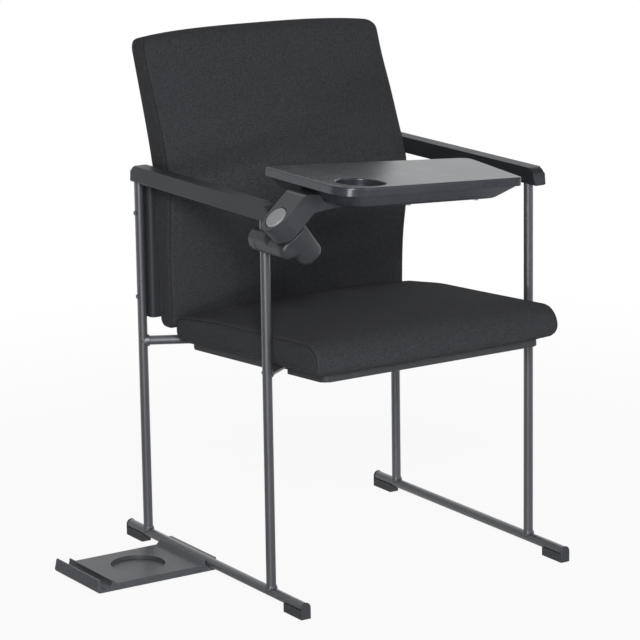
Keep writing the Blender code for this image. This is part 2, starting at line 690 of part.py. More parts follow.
def back_cushion():
    """Back upholstery, bent at armrest height, with a pocket for the panel in its rear face."""
    bm = pad(
        BACK_WIDTH, BACK_LENGTH, BACK_THICKNESS, BACK_CROWN, plan=BACK_CORNERS, face=BACK_FACE_ROUND,
        rear=BACK_REAR_ROUND, side=BACK_SIDE_ROUND, bow=BACK_BOW, swell=(LUMBAR_WIDE, LUMBAR_DEEP),
        folds=back_folds(4),
    )
    obj = shape("back_cushion", along_back(bm), FINISH["fabric"])
    cut(obj, cutter(panel_solid(GAP, -OVERCUT, PANEL_THICKNESS + GAP)))
    return obj


def bracket_screw_places(side):
    """On the outside of a rear upright."""
    outer = SIDES[side] * (HALF_WIDTH + TUBE_RADIUS + GAP)
    heights = (BRACKET_BOTTOM + BRACKET_SCREWS[0], BRACKET_TOP - BRACKET_SCREWS[1])
    return [facing((outer, HALF_DEPTH, z), (SIDES[side], 0, 0)) for z in heights]


def back_screw_places(side):
    """On the rear of a bracket web."""
    x = SIDES[side] * (HALF_WIDTH - TUBE_RADIUS - GAP - BACK_SCREW_INSET)
    y = BACK_REAR + 2 * GAP + BRACKET_STEEL
    heights = (BRACKET_BOTTOM + BACK_SCREWS[0], BRACKET_TOP - BACK_SCREWS[1])
    return [facing((x, y, z), (0, 1, 0)) for z in heights]


def back_bracket(side, holes):
    """Bent steel angle: a flange on the inside of the upright and a web behind the back."""
    sign = SIDES[side]
    outer = HALF_WIDTH - TUBE_RADIUS - GAP
    front = BACK_REAR + GAP
    rear, inner = front + BRACKET_DEPTH, outer - BRACKET_WEB
    corners = [
        (outer, front, BRACKET_BEND + BRACKET_STEEL), (outer, rear, BRACKET_EDGE),
        (outer - BRACKET_STEEL, rear, BRACKET_EDGE),
        (outer - BRACKET_STEEL, front + BRACKET_STEEL, BRACKET_BEND),
        (inner, front + BRACKET_STEEL, BRACKET_EDGE), (inner, front, BRACKET_EDGE),
    ]
    section = outline(corners, steps=4)
    bm = prism([(sign * x, y) for x, y in section], BRACKET_BOTTOM, BRACKET_TOP)
    obj = shape("back_bracket_" + side, bm, FINISH["powder_coat"])
    cut(obj, *holes)
    return obj


def clamp_rear(bolt_places, tube_hole):
    """Rear half of the tablet clamp: a round shell behind the right front upright."""
    place = facing((-HALF_WIDTH, -HALF_DEPTH, BARREL_HEIGHT), (0, 1, 0))
    edge = BARREL_RADIUS - CLAMP_EDGE
    profile = [(0, CLAMP_SPLIT / 2), (BARREL_RADIUS, CLAMP_SPLIT / 2)]
    profile += arc((edge, CLAMP_REAR - CLAMP_EDGE), CLAMP_EDGE, 0, 90, 3) + [(0, CLAMP_REAR)]
    obj = shape("clamp_rear", turned(profile), FINISH["charcoal_plastic"], place)
    cut(obj, tube_hole)
    head, _, shank = CLAMP_BOLT
    cut(obj, cutter(rods(bolt_places, head + PASS, -GAP, OVERCUT)))
    cut(obj, cutter(rods(bolt_places, shank + PASS, -CLAMP_REAR, OVERCUT)))
    return obj


def clamp_bolt_places():
    """Seats of the bolt heads, sunk in the rear face of the clamp."""
    y = CLAMP_REAR - CLAMP_BOLT[1] - HALF_DEPTH
    spots = [-HALF_WIDTH - CLAMP_BOLT_OUT, -HALF_WIDTH + CLAMP_BOLT_OUT]
    return [facing((x, y, BARREL_HEIGHT), (0, 1, 0)) for x in spots]


def clamp_body(bolt_places, tube_hole):
    """Front half of the clamp: barrel ahead of the upright and tapered socket of the pivot."""
    length = -PIVOT_Y - HALF_DEPTH
    place = facing((-HALF_WIDTH, -HALF_DEPTH, BARREL_HEIGHT), (0, -1, 0))
    profile = [(0, CLAMP_SPLIT / 2), (BARREL_RADIUS, CLAMP_SPLIT / 2)]
    nose = (BARREL_RADIUS - BARREL_ROUND, length + BARREL_ROUND / 2)
    profile += arc(nose, BARREL_ROUND, 0, 90, 4) + [(0, nose[1] + BARREL_ROUND)]
    obj = shape("clamp_body", turned(profile, 28), FINISH["charcoal_plastic"], place)
    socket = [(0, -SOCKET_LENGTH)]
    end = (SOCKET_END - SOCKET_ROUND, SOCKET_ROUND - SOCKET_LENGTH)
    socket += arc(end, SOCKET_ROUND, -90, -8, 4)
    spare = SOCKET_FACE + SOCKET_SPARE
    socket += [(SOCKET_TOP, SOCKET_FACE), (SOCKET_TOP, spare), (0, spare)]
    join(obj, cutter(turned(socket, 28), PIVOT))
    sweep = 4 * ELBOW_RADIUS
    room = box((-sweep, sweep), (-sweep, ELBOW_RADIUS + PIVOT_CLEAR / 2), (SOCKET_FACE, sweep))
    cut(obj, cutter(room, PIVOT))
    cut(obj, tube_hole)
    bore = PIVOT_BOLT[2] + GAP
    cut(obj, cutter(rod(bore, SOCKET_FACE - BOLT_HOLD - GAP, sweep), PIVOT))
    shank = CLAMP_BOLT[2] + PASS
    deep = CLAMP_BOLT_LENGTH + PASS
    cut(obj, cutter(rods(bolt_places, shank, -deep, OVERCUT)))
    return obj


def pivot_stack():
    """Heights on the pivot axis of the bolt head's seat and top."""
    top = -CAP_SINK - 2 * GAP
    return top - PIVOT_BOLT[1], top


def pivot_bolt(parent):
    """Steel bolt from under the cap through arm and washer into the socket."""
    head, _, shank = PIVOT_BOLT
    seat, top = pivot_stack()
    end = SOCKET_FACE - BOLT_HOLD
    profile = [
        (0, end), (shank - BOLT_CHAMFER, end), (shank, end + BOLT_CHAMFER), (shank, seat), (head, seat),
        (head, top - BOLT_CHAMFER), (head - BOLT_CHAMFER, top), (0, top),
    ]
    return shape("pivot_bolt", turned(profile), FINISH["steel"], PIVOT, parent)


def disc_spring(parent):
    """Spring washer under the bolt head that sets the friction of the swing arm."""
    high = pivot_stack()[0] - GAP
    hole, rim = PIVOT_BOLT[2] + GAP, PIVOT_BOLT[0]
    low = high - SPRING_THICKNESS
    profile = [(hole, low), (rim, low), (rim, high), (hole, high)]
    return shape("disc_spring", turned(profile), FINISH["steel"], PIVOT, parent)


def friction_washer(parent):
    """Plastic ring between the swing arm and the socket."""
    high = -ELBOW_THICKNESS - GAP
    low = high - WASHER_THICKNESS
    hole = PIVOT_BOLT[2] + GAP
    profile = [(hole, low), (WASHER_RADIUS, low), (WASHER_RADIUS, high), (hole, high)]
    return shape("friction_washer", turned(profile), FINISH["cap_plastic"], PIVOT, parent)


def pivot_cap(parent):
    """Light grey cap over the pivot bolt, slightly domed, in the top of the swing arm."""
    profile = [(0, -CAP_SINK), (CAP_RADIUS, -CAP_SINK), (CAP_RADIUS, CAP_PROUD * 0.4)]
    profile += [(CAP_RADIUS - CAP_EDGE, CAP_PROUD * 0.8), (CAP_RADIUS * 0.6, CAP_PROUD * 0.95)]
    profile += [(0, CAP_PROUD)]
    return shape("pivot_cap", turned(profile, 28), FINISH["cap_plastic"], None, parent)


def tablet_corners():
    """Corners of the tablet top, from the outer front corner, in tablet axes."""
    free_front = (TABLET_LENGTH - TABLET_SKEW, TABLET_TAPER - TABLET_FRONT)
    spots = [(0, -TABLET_FRONT), free_front, (TABLET_LENGTH, TABLET_BACK), (0, TABLET_BACK)]
    return [(x, y, radius) for (x, y), radius in zip(spots, TABLET_CORNERS)]


def belly_scale(part):
    """Scale that draws in a share of the belly's slopes at the two ends and the two sides."""
    outer, free = (part * run for run in BELLY_SLOPES)
    x = 1 - (outer + free) / TABLET_LENGTH
    y = 1 - 2 * part * BELLY_SIDE_SLOPE / (TABLET_BACK + TABLET_FRONT)
    middle = (TABLET_BACK - TABLET_FRONT) / 2
    return Matrix.Translation((outer, middle * (1 - y), 0)) @ Matrix.Diagonal((x, y, 1, 1))


def belly_solid(inset, sink, high):
    """Dish-shaped form under the tablet, moved inwards and upwards by the given amounts."""
    low = sink - TABLET_BELLY
    knee = low + (TABLET_BELLY - TABLET_EDGE) * 0.15
    rings = []
    for part, z in ((0, high), (0, -TABLET_EDGE - GAP), (0.85, knee), (1, low)):
        ring = outline(tablet_corners(), inset + BELLY_INSET)
        rings.append([belly_scale(part) @ Vector((x, y, z)) for x, y in ring])
    return loft(rings)


def cup_axis():
    x, y = CUP_PLACE
    return Matrix.Translation((x, y - TABLET_FRONT, 0))


def tablet_screw_places():
    """Seats of the screw heads under the belly, clear of the cup, in tablet axes."""
    low = -TABLET_BELLY - GAP
    return [facing((x, y, low), (0, 0, -1)) for x, y in TABLET_SCREWS]


def arm_screw_places():
    """Inside the belly, heads up, in tablet axes."""
    low = -TABLET_BELLY + BELLY_SHELL + GAP
    spots = [(x, sign * ARM_SCREW_OUT) for x in ARM_SCREWS for sign in (-1, 1)]
    return [facing((x, y, low), (0, 0, 1)) for x, y in spots]


def tablet_top(parent, place):
    """Writing surface: hollow moulding with a deep edge, a cup recess and screw posts."""
    bm = prism(outline(tablet_corners()), -TABLET_EDGE, 0)
    rim = [e for e in bm.edges if all(abs(v.co.z) < 1e-6 for v in e.verts)]
    bmesh.ops.bevel(bm, geom=rim, offset=TABLET_EDGE_ROUND, segments=3, profile=0.5, affect="EDGES")
    obj = shape("tablet_top", bm, FINISH["tablet_plastic"], place, parent)
    hollow = prism(outline(tablet_corners(), TABLET_SKIN), -TABLET_EDGE - OVERCUT, -TABLET_SKIN)
    cut(obj, cutter(hollow, place, parent))
    well = rod(CUP_RADIUS + CUP_WALL, -CUP_DEPTH - CUP_WALL, -TABLET_SKIN * 0.5, 32)
    join(obj, cutter(well, place @ cup_axis(), parent))
    mouth = [(0, -CUP_DEPTH), (CUP_RADIUS - CUP_ROUND, -CUP_DEPTH), (CUP_RADIUS, CUP_ROUND - CUP_DEPTH)]
    mouth += [(CUP_RADIUS, -2 * CUP_CHAMFER), (CUP_RADIUS + 4 * CUP_CHAMFER, 2 * CUP_CHAMFER)]
    mouth += [(0, 2 * CUP_CHAMFER)]
    cut(obj, cutter(turned(mouth, 32), place @ cup_axis(), parent))
    ends = (TABLET_SKIN * 0.5 - TABLET_BELLY, -BELLY_SHELL - 2 * GAP)
    join(obj, cutter(rods(tablet_screw_places(), POST_RADIUS, *ends), place, parent))
    deep = TABLET_SCREW_LENGTH + PASS
    holes = rods(tablet_screw_places(), SMALL_SCREW[2] + PASS, -deep, OVERCUT)
    cut(obj, cutter(holes, place, parent))
    return obj


def tablet_base(parent, place):
    """Sloped dish that closes the tablet from below."""
    bm = belly_solid(GAP, 0, -TABLET_EDGE - GAP / 2)
    obj = shape("tablet_base", bm, FINISH["tablet_plastic"], place, parent)
    hollow = belly_solid(BELLY_SHELL, BELLY_SHELL, OVERCUT)
    cut(obj, cutter(hollow, place, parent))
    shank = SMALL_SCREW[2] + PASS
    cut(obj, cutter(rods(tablet_screw_places(), shank, -OVERCUT, OVERCUT), place, parent))
    cut(obj, cutter(rods(arm_screw_places(), shank, -OVERCUT, OVERCUT), place, parent))
    return obj


def shoulder_section(reach):
    """Space above the arm's shoulder, in pivot axes: round off its face, then level with the tablet."""
    turn = PIVOT_TILT + TABLET_DROOP
    start = SHOULDER_RUN - SHOULDER_ROUND * math.tan(turn / 2)
    points = [(start, reach), (start, GAP)]
    points += arc((start, -SHOULDER_ROUND), SHOULDER_ROUND, 78, 90 - math.degrees(turn), 4)
    points += [(SHOULDER_RUN + reach * math.cos(turn), -reach * math.sin(turn))]
    return points + [(SHOULDER_RUN + reach * math.cos(turn), reach)]


def swing_arm(parent, place):
    """Moulded arm: round elbow on the pivot, slab with a rounded shoulder and a foot under the belly."""
    reach = 4 * ELBOW_RADIUS
    elbow = arc((0, 0), ELBOW_RADIUS, 90, 270, 14) + [(reach, -ELBOW_RADIUS), (reach, ELBOW_RADIUS)]
    bm = prism(elbow, -ELBOW_THICKNESS, 0)
    rim = [e for e in bm.edges if abs(e.verts[0].co.z - e.verts[1].co.z) < 1e-6]
    bmesh.ops.bevel(bm, geom=rim, offset=ELBOW_EDGE, segments=2, profile=0.5, affect="EDGES")
    obj = shape("swing_arm", bm, FINISH["charcoal_plastic"], None, parent)
    under = -TABLET_BELLY - GAP
    low = under - FLANGE_THICKNESS
    sole = [(0, under + FLANGE_LAP)]
    sole += [(FLANGE_END * k / 6, low - FLANGE_SAG * (1 - k / 6) ** 2) for k in range(7)]
    sole += [(FLANGE_END, under + FLANGE_LAP)]
    flange = prism(sole, -FLANGE_HALF, FLANGE_HALF)
    join(obj, cutter(flange, place @ FRONT_ON, parent))
    cut(obj, cutter(prism(shoulder_section(reach), -reach, reach), FRONT_ON, parent))
    cut(obj, cutter(belly_solid(0, -GAP, OVERCUT), place, parent))
    trim = box((BELLY_INSET + BELLY_SLOPES[0], reach * 2), (-reach, reach), (under, reach))
    cut(obj, cutter(trim, place, parent))
    holes = rods(arm_screw_places(), SMALL_SCREW[2] + PASS, -ARM_SCREW_LENGTH - PASS, 0)
    cut(obj, cutter(holes, place, parent))
    seat = pivot_stack()[0] - SPRING_THICKNESS - 2 * GAP
    profile = [(0, -ELBOW_THICKNESS - OVERCUT), (PIVOT_BOLT[2] + TURN_GAP, -ELBOW_THICKNESS - OVERCUT)]
    profile += [(PIVOT_BOLT[2] + TURN_GAP, seat), (PIVOT_BOLT[0] + TURN_GAP, seat)]
    profile += [(PIVOT_BOLT[0] + TURN_GAP, -CAP_SINK - GAP), (CAP_RADIUS + GAP, -CAP_SINK - GAP)]
    profile += [(CAP_RADIUS + GAP, OVERCUT), (0, OVERCUT)]
    cut(obj, cutter(turned(profile, 28), None, parent))
    return obj


def link_section():
    """Section of the row link: outwards from the runner axis and up from it."""
    low = LINK_FLOOR - RUNNER_HEIGHT
    top = low + LINK_PLATE
    clip = TUBE_RADIUS + TURN_GAP
    outer_turn = math.degrees(math.asin(LINK_CLIP_OUTER / clip))
    inner_turn = math.degrees(math.asin(LINK_CLIP_INNER / clip))
    wall = LINK_PITCH + LINK_CHANNEL + LINK_LIP
    points = [(-clip - LINK_LIP - LINK_FOOT, low)]
    points += arc((wall + LINK_FOOT - LINK_CORNER, low + LINK_CORNER), LINK_CORNER, -90, -8, 5)
    points += arc((wall - LINK_LIP_ROUND, LINK_CLIP_INNER - LINK_LIP_ROUND), LINK_LIP_ROUND, 0, 90, 3)
    points += [(LINK_PITCH + LINK_CHANNEL, LINK_CLIP_INNER)]
    points += arc((LINK_PITCH, -LINK_CHANNEL_DROP), LINK_CHANNEL, 0, -180, 12)
    points += [(LINK_PITCH - LINK_CHANNEL, LINK_CHANNEL_INNER)]
    inner = (LINK_PITCH - LINK_CHANNEL - LINK_LIP + LINK_LIP_ROUND, LINK_CHANNEL_INNER - LINK_LIP_ROUND)
    points += arc(inner, LINK_LIP_ROUND, 90, 150, 3)
    points += [(LINK_PITCH - LINK_CHANNEL - LINK_LIP - LINK_SLOPE, top)]
    points += [(clip + LINK_LIP + LINK_SLOPE, top)]
    outer = (clip + LINK_LIP - LINK_LIP_ROUND, LINK_CLIP_OUTER - LINK_LIP_ROUND)
    points += arc(outer, LINK_LIP_ROUND, 30, 90, 3)
    points += arc((0, 0), clip, outer_turn, -180 - inner_turn, 16)
    points += [(-clip - LINK_LIP, LINK_CLIP_INNER)]
    return points


def row_link(hinge):
    """Plate that clips on the right runner and holds the neighbour's runner in an open channel."""
    bm = prism(link_section(), -LINK_LENGTH / 2, LINK_LENGTH / 2)
    obj = shape("row_link_plate", bm, FINISH["link_plastic"], FRONT_ON, hinge)
    low = LINK_FLOOR - RUNNER_HEIGHT
    top = low + LINK_PLATE
    place = Matrix.Translation((LINK_RECESS_OUT, 0, top))
    cut(obj, cutter(rod(LINK_RECESS_RADIUS, -LINK_RECESS_DEPTH, OVERCUT, 32), place, hinge))
    first = TUBE_RADIUS + LINK_LIP + LINK_RIB
    last = LINK_PITCH - LINK_CHANNEL - LINK_RIB
    wide = (last - first - LINK_RIB) / 2
    deep = (LINK_LENGTH - 4 * LINK_RIB) / 3
    pockets = []
    for i in range(2):
        for j in range(3):
            x = first + i * (wide + LINK_RIB)
            y = -LINK_LENGTH / 2 + LINK_RIB + j * (deep + LINK_RIB)
            pockets.append(box((x, x + wide), (y, y + deep), (low - OVERCUT, low + LINK_POCKET)))
    cut(obj, cutter(gathered(pockets), None, hinge))
    return obj


def build_frame():
    """Side frames with feet and armrests; returns the rear uprights by side."""
    rear_uprights = {}
    for side in SIDES:
        runner(side)
        space = runner_space(side)
        sockets = []
        for end in ENDS:
            standing = upright(end, side)
            cut(standing, space)
            blind = ARM_BOTTOM + ARM_SOCKET + GAP
            sockets.append(upright_space(end, side, ARM_BOTTOM - OVERCUT, blind))
            foot(end, side)
            if end == "rear":
                rear_uprights[side] = standing
        armrest(side, sockets)
    return rear_uprights


def build_seat():
    """X brace, pan, board, cushion and their screws, all in the tilted seat plane."""
    seat = axle("seat_frame", SEAT_FRAME)
    spaces = {}
    for side in SIDES:
        for end in ENDS:
            spaces[end, side] = upright_space(end, side, SEAT_HEIGHT / 2, SEAT_HEIGHT * 1.5)
    across, other = brace_line(1, -1), brace_line(1, 1)
    through = brace_tube("cross_tube_through", across, WELD_LEG - BRACE_HALF, seat)
    front = brace_tube("cross_tube_front_right", brace_line(-1, -1), WELD_LEG, seat)
    rear = brace_tube("cross_tube_rear_left", other, WELD_LEG, seat)
    cut(through, spaces["front", "left"], spaces["rear", "right"])
    middle = cutter(rod(TUBE_RADIUS + GAP, -BRACE_HALF, BRACE_HALF), across, seat)
    cut(front, spaces["front", "right"], middle)
    cut(rear, spaces["rear", "left"], middle)
    bores = rods(seat_screw_places(), SEAT_SCREW[2] + PASS, -TUBE_DIAMETER - OVERCUT, OVERCUT)
    holes = cutter(bores, None, seat)
    for one in (through, front, rear):
        cut(one, holes)
    grooves = []
    for line in (across, other):
        grooves.append(cutter(rod(TUBE_RADIUS + 2 * GAP, -1, 1), line, seat))
    seat_pan(seat)
    seat_board(seat)
    seat_cushion(seat, grooves)
    length = TUBE_DIAMETER + 2 * GAP + BOARD_THICKNESS * 0.8
    screws("seat_screw", seat_screw_places(), SEAT_SCREW, length, seat)
    length = BOARD_LOW - PAN_LOW + BOARD_THICKNESS * 0.7
    screws("pan_screw", pan_screw_places(), SMALL_SCREW, length, seat)


def build_back(rear_uprights):
    """Back pad and panel on two brackets, each screwed to a rear upright."""
    tube_screws = [place for side in SIDES for place in bracket_screw_places(side)]
    panel_screws = [place for side in SIDES for place in back_screw_places(side)]
    through = TUBE_DIAMETER + 2 * GAP + BRACKET_STEEL
    tube_holes = cutter(rods(tube_screws, FRAME_SCREW[2] + PASS, -through - OVERCUT, OVERCUT))
    into = BRACKET_STEEL + GAP + PANEL_THICKNESS
    panel_holes = cutter(rods(panel_screws, SMALL_SCREW[2] + PASS, -into - OVERCUT, OVERCUT))
    back_cushion()
    back_panel(panel_holes)
    for side, standing in rear_uprights.items():
        cut(standing, tube_holes)
        back_bracket(side, (tube_holes, panel_holes))
    screws("bracket_screw", tube_screws, FRAME_SCREW, through + BRACKET_STEEL)
    screws("back_screw", panel_screws, SMALL_SCREW, into - GAP)


def build_tablet():
    """Clamp and pivot on the right front upright, and the tablet that swings on them."""
    clamp_span = (BARREL_HEIGHT - 2 * BARREL_RADIUS, BARREL_HEIGHT + 2 * BARREL_RADIUS)
    tube_hole = upright_space("front", "right", *clamp_span)
    bolts = clamp_bolt_places()
    clamp_rear(bolts, tube_hole)
    clamp_body(bolts, tube_hole)
    screws("clamp_bolt", bolts, CLAMP_BOLT, CLAMP_BOLT_LENGTH)
    pivot_bolt(None)
    disc_spring(None)
    friction_washer(None)
    swing = axle("tablet_pivot", PIVOT)
    place = PIVOT.inverted() @ TABLET
    swing_arm(swing, place)
    pivot_cap(swing)
    tablet_top(swing, place)
    tablet_base(swing, place)
    arm = [place @ spot for spot in arm_screw_places()]
    screws("arm_screw", arm, SMALL_SCREW, ARM_SCREW_LENGTH, swing)
    under = [place @ spot for spot in tablet_screw_places()]
    screws("tablet_screw", under, SMALL_SCREW, TABLET_SCREW_LENGTH, swing)


def build_link():
    place = Matrix.Translation((-HALF_WIDTH, LINK_MIDDLE, RUNNER_HEIGHT))
    row_link(axle("link_hinge", place @ Matrix.Rotation(math.pi, 4, "Z")))


clear_scene()
FINISH = {
    "powder_coat": finish("powder_coat", (0.060, 0.062, 0.064), 0.42, 0.3),
    "charcoal_plastic": finish("charcoal_plastic", (0.030, 0.031, 0.033), 0.45),
    "foot_plastic": finish("foot_plastic", (0.024, 0.025, 0.026), 0.55),
    "pan_plastic": finish("pan_plastic", (0.045, 0.046, 0.047), 0.55),
    "tablet_plastic": finish("tablet_plastic", (0.022, 0.022, 0.023), 0.30),
    "link_plastic": finish("link_plastic", (0.040, 0.041, 0.042), 0.50),
    "cap_plastic": finish("cap_plastic", (0.36, 0.37, 0.38), 0.40),
    "fabric": finish("fabric", (0.018, 0.018, 0.019), 0.90),
    "plywood": finish("plywood", (0.48, 0.34, 0.20), 0.70),
    "steel": finish("steel", (0.50, 0.50, 0.50), 0.35, 1.0),
}
build_seat()
build_back(build_frame())
build_tablet()
build_link()
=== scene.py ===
"""Looks of a visitor chair with a folding tablet and a row link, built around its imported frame.

Metres, in the frame's own axes: +X to the sitter's left, -Y to the front, +Z up.
"""

import json
import math

import bmesh
import bpy
import numpy as np
from mathutils import Matrix, Vector
from mathutils.bvhtree import BVHTree

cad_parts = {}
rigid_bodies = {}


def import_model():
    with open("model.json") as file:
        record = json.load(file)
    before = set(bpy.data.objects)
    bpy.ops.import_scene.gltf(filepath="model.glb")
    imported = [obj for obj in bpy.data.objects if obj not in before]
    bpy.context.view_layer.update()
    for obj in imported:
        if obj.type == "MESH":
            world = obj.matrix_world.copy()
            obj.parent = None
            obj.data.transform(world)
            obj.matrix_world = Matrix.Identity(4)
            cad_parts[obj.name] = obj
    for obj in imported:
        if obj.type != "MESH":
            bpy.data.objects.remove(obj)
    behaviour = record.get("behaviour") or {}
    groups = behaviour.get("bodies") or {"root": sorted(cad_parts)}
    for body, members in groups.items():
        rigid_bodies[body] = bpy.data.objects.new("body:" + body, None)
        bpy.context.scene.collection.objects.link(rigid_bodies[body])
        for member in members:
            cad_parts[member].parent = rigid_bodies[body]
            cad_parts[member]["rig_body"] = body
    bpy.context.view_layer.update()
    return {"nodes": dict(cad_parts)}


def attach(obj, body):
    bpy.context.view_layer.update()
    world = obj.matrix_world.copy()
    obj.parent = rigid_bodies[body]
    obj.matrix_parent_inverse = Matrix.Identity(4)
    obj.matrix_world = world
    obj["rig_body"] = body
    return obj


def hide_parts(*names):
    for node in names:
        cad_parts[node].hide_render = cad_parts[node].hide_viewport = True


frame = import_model()


# Studio: a pale floor that runs into a white backdrop behind the chair, soft lamps on both sides of
# the lens, a low one for the tubes, a weak one behind, and a long lens at the sitter's right.
CAMERA_PLACE = (-2.8173, -4.3716, 1.6335)
CAMERA_RIGHT = (0.83874, -0.54436, -0.01360)
CAMERA_UP = (0.13674, 0.18639, 0.97291)
LENS = 178.18
SENSOR = 36
SHIFT = (-0.02242, -0.00346)
FLOOR_HALF = 9.0
FLOOR_WHITE = (0.92, 0.92, 0.92, 1.0)
FLOOR_SHADOW = 0.08  # share of the floor's own lit colour near the chair
SHADOW_REACH = (0.5, 2.2)
AMBIENT = 0.12
ROOM = 0.22  # what shiny parts see on the camera's side of the studio
WORLD_SWEEP = (0.1, 0.8)  # from that level to white, by direction
FLOOR_SWEEP = (-0.8, 1.5)  # and by distance on the floor


def feed(tree, socket, source):
    """A link from a socket, or a plain value."""
    if isinstance(source, bpy.types.NodeSocket):
        tree.links.new(source, socket)
    else:
        socket.default_value = source


def set_up(made, **settings):
    """The same thing with these properties."""
    for name, value in settings.items():
        setattr(made, name, value)
    return made


def add(tree, kind, inputs=(), **settings):
    """A new node with these properties, and with its inputs fed by name or by number."""
    made = set_up(tree.nodes.new(kind), **settings)
    for name, source in dict(inputs).items():
        feed(tree, made.inputs[name], source)
    return made


def reckon(tree, operation, *sources):
    """The output of a Math node."""
    return add(tree, "ShaderNodeMath", enumerate(sources), operation=operation).outputs[0]


def seen_directly(tree):
    """1 for camera, glossy and transmission rays, and 0 for the light that falls on the chair."""
    path = add(tree, "ShaderNodeLightPath").outputs
    seen = reckon(tree, "MAXIMUM", path["Is Camera Ray"], path["Is Glossy Ray"])
    return reckon(tree, "MAXIMUM", seen, path["Is Transmission Ray"])


def mapped(tree, source, reach, levels, curve="LINEAR"):
    """The output of a Map Range node that carries a reach of the source to these levels."""
    values = dict(zip(("From Min", "From Max", "To Min", "To Max"), (*reach, *levels)))
    made = add(tree, "ShaderNodeMapRange", {"Value": source, **values}, interpolation_type=curve)
    return made.outputs[0]


def backdrop_level(tree, coordinates, reach):
    """White for the lens and for what mirrors the studio ahead of it, and dim on its own side."""
    place = add(tree, "ShaderNodeTexCoord").outputs[coordinates]
    look = Vector(CAMERA_UP).cross(Vector(CAMERA_RIGHT))
    ahead = add(tree, "ShaderNodeVectorMath", {0: place, 1: look}, operation="DOT_PRODUCT")
    sweep = mapped(tree, ahead.outputs["Value"], reach, (ROOM, 1.0), "SMOOTHSTEP")
    return reckon(tree, "MAXIMUM", sweep, add(tree, "ShaderNodeLightPath").outputs["Is Camera Ray"])


def studio_world():
    """The backdrop for rays that see it, and an even low light on everything."""
    world = bpy.data.worlds.new("studio_white")
    bpy.context.scene.world = world
    world.use_nodes = True
    tree = world.node_tree
    level = backdrop_level(tree, "Generated", WORLD_SWEEP)
    strength = add(tree, "ShaderNodeMix", {0: seen_directly(tree), 2: AMBIENT, 3: level})
    shader = tree.nodes["Background"].inputs
    feed(tree, shader["Color"], (1, 1, 1, 1))
    feed(tree, shader["Strength"], strength.outputs[0])


def placed(name, data):
    """A new object at the origin with this mesh, lamp or camera."""
    made = bpy.data.objects.new(name, data)
    bpy.context.scene.collection.objects.link(made)
    return made


def studio_floor():
    """A wide floor that shows white and keeps a share of its own lit colour near the chair."""
    half = FLOOR_HALF
    corners = [(-half, -half, 0), (half, -half, 0), (half, half, 0), (-half, half, 0)]
    mesh = bpy.data.meshes.new("floor")
    mesh.from_pydata(corners, [], [(0, 1, 2, 3)])
    floor = placed("floor", mesh)
    material = bpy.data.materials.new("studio_floor")
    material.use_nodes = True
    mesh.materials.append(material)
    tree = material.node_tree
    tree.nodes.remove(tree.nodes["Principled BSDF"])
    place = add(tree, "ShaderNodeTexCoord").outputs["Object"]
    away = add(tree, "ShaderNodeVectorMath", {0: place}, operation="LENGTH").outputs["Value"]
    fade = mapped(tree, away, SHADOW_REACH, (1 - FLOOR_SHADOW, 1.0), "SMOOTHSTEP")
    share = reckon(tree, "MULTIPLY", fade, seen_directly(tree))
    lit = add(tree, "ShaderNodeBsdfDiffuse", {"Color": FLOOR_WHITE}).outputs[0]
    level = backdrop_level(tree, "Object", FLOOR_SWEEP)
    white = add(tree, "ShaderNodeEmission", {"Strength": level}).outputs[0]
    both = add(tree, "ShaderNodeMixShader", {0: share, 1: lit, 2: white})
    feed(tree, tree.nodes["Material Output"].inputs["Surface"], both.outputs[0])


def soft_lamp(name, place, target, size, watts):
    """A rectangular lamp that faces its target."""
    lamp = bpy.data.lights.new(name, "AREA")
    set_up(lamp, shape="RECTANGLE", size=size[0], size_y=size[1], energy=watts)
    holder = placed(name, lamp)
    holder.location = place
    holder.rotation_euler = (Vector(target) - Vector(place)).to_track_quat("-Z", "Y").to_euler()


def long_lens():
    """The camera, fitted to the chair's edges."""
    lens = bpy.data.cameras.new("long_lens")
    set_up(lens, sensor_width=SENSOR, lens=LENS, shift_x=SHIFT[0], shift_y=SHIFT[1])
    camera = placed("long_lens", lens)
    right, up = Vector(CAMERA_RIGHT), Vector(CAMERA_UP)
    turn = Matrix((right, up, right.cross(up))).transposed()
    camera.matrix_world = Matrix.Translation(CAMERA_PLACE) @ turn.to_4x4()
    bpy.context.scene.camera = camera


bpy.context.scene.view_settings.view_transform = "Standard"
studio_world()
studio_floor()
soft_lamp("key", (-2.5, -4.1, 2.4), (0, 0, 0.5), (1.2, 1.4), 154)
soft_lamp("low_strip", (-3.2, -3.45, 0.16), (0, 0, 0.3), (1.0, 0.26), 32)
soft_lamp("fill", (2.2, -3.8, 1.3), (0, 0, 0.5), (1.6, 1.8), 30)
soft_lamp("high_rear", (0.4, 2.2, 3.4), (0, 0, 0.6), (2.4, 1.6), 8)
long_lens()


# Side frames: 16 mm round steel tube, coped, welded and powder coated in satin graphite, with two
# runners, four uprights and the X brace under the seat. The back brackets have a rougher copy of
# the coat with darker tones, which are painted shade.
COOL = (0.86, 0.93, 1.0, 1.0)  # cast of the light that the dark finishes throw back
COAT_TONES = ((0.036, 0.038, 0.043), (0.054, 0.056, 0.062))
TUBE_RADIUS = 0.008
BRACKET_RISE = 0.022  # the bracket's upper end runs on to the armrest
SHARP = math.radians(34)  # edges that turn by more are hard
FLAT = math.radians(0.6)  # and faces that turn by less are one
MERGE = 1e-5
EDGE_STEPS = 3
CLOUD_SCALE = 9.0
GRAIN_SHARES = (0.55, 0.45)  # of the fine grain and of slow clouds in a finish's tone
GRAIN_SPAN = (0.3, 0.7)  # part of the tone's range that the finish spreads over


def new_tree(name, kind, inputs, outputs):
    """A node group with these sockets, and the sockets of its input and its output node."""
    tree = bpy.data.node_groups.new(name, kind)
    for way, sockets in (("INPUT", inputs), ("OUTPUT", outputs)):
        for label, value in sockets.items():
            tree.interface.new_socket(label, in_out=way, socket_type="NodeSocket" + value)
    return tree, add(tree, "NodeGroupInput").outputs, add(tree, "NodeGroupOutput").inputs


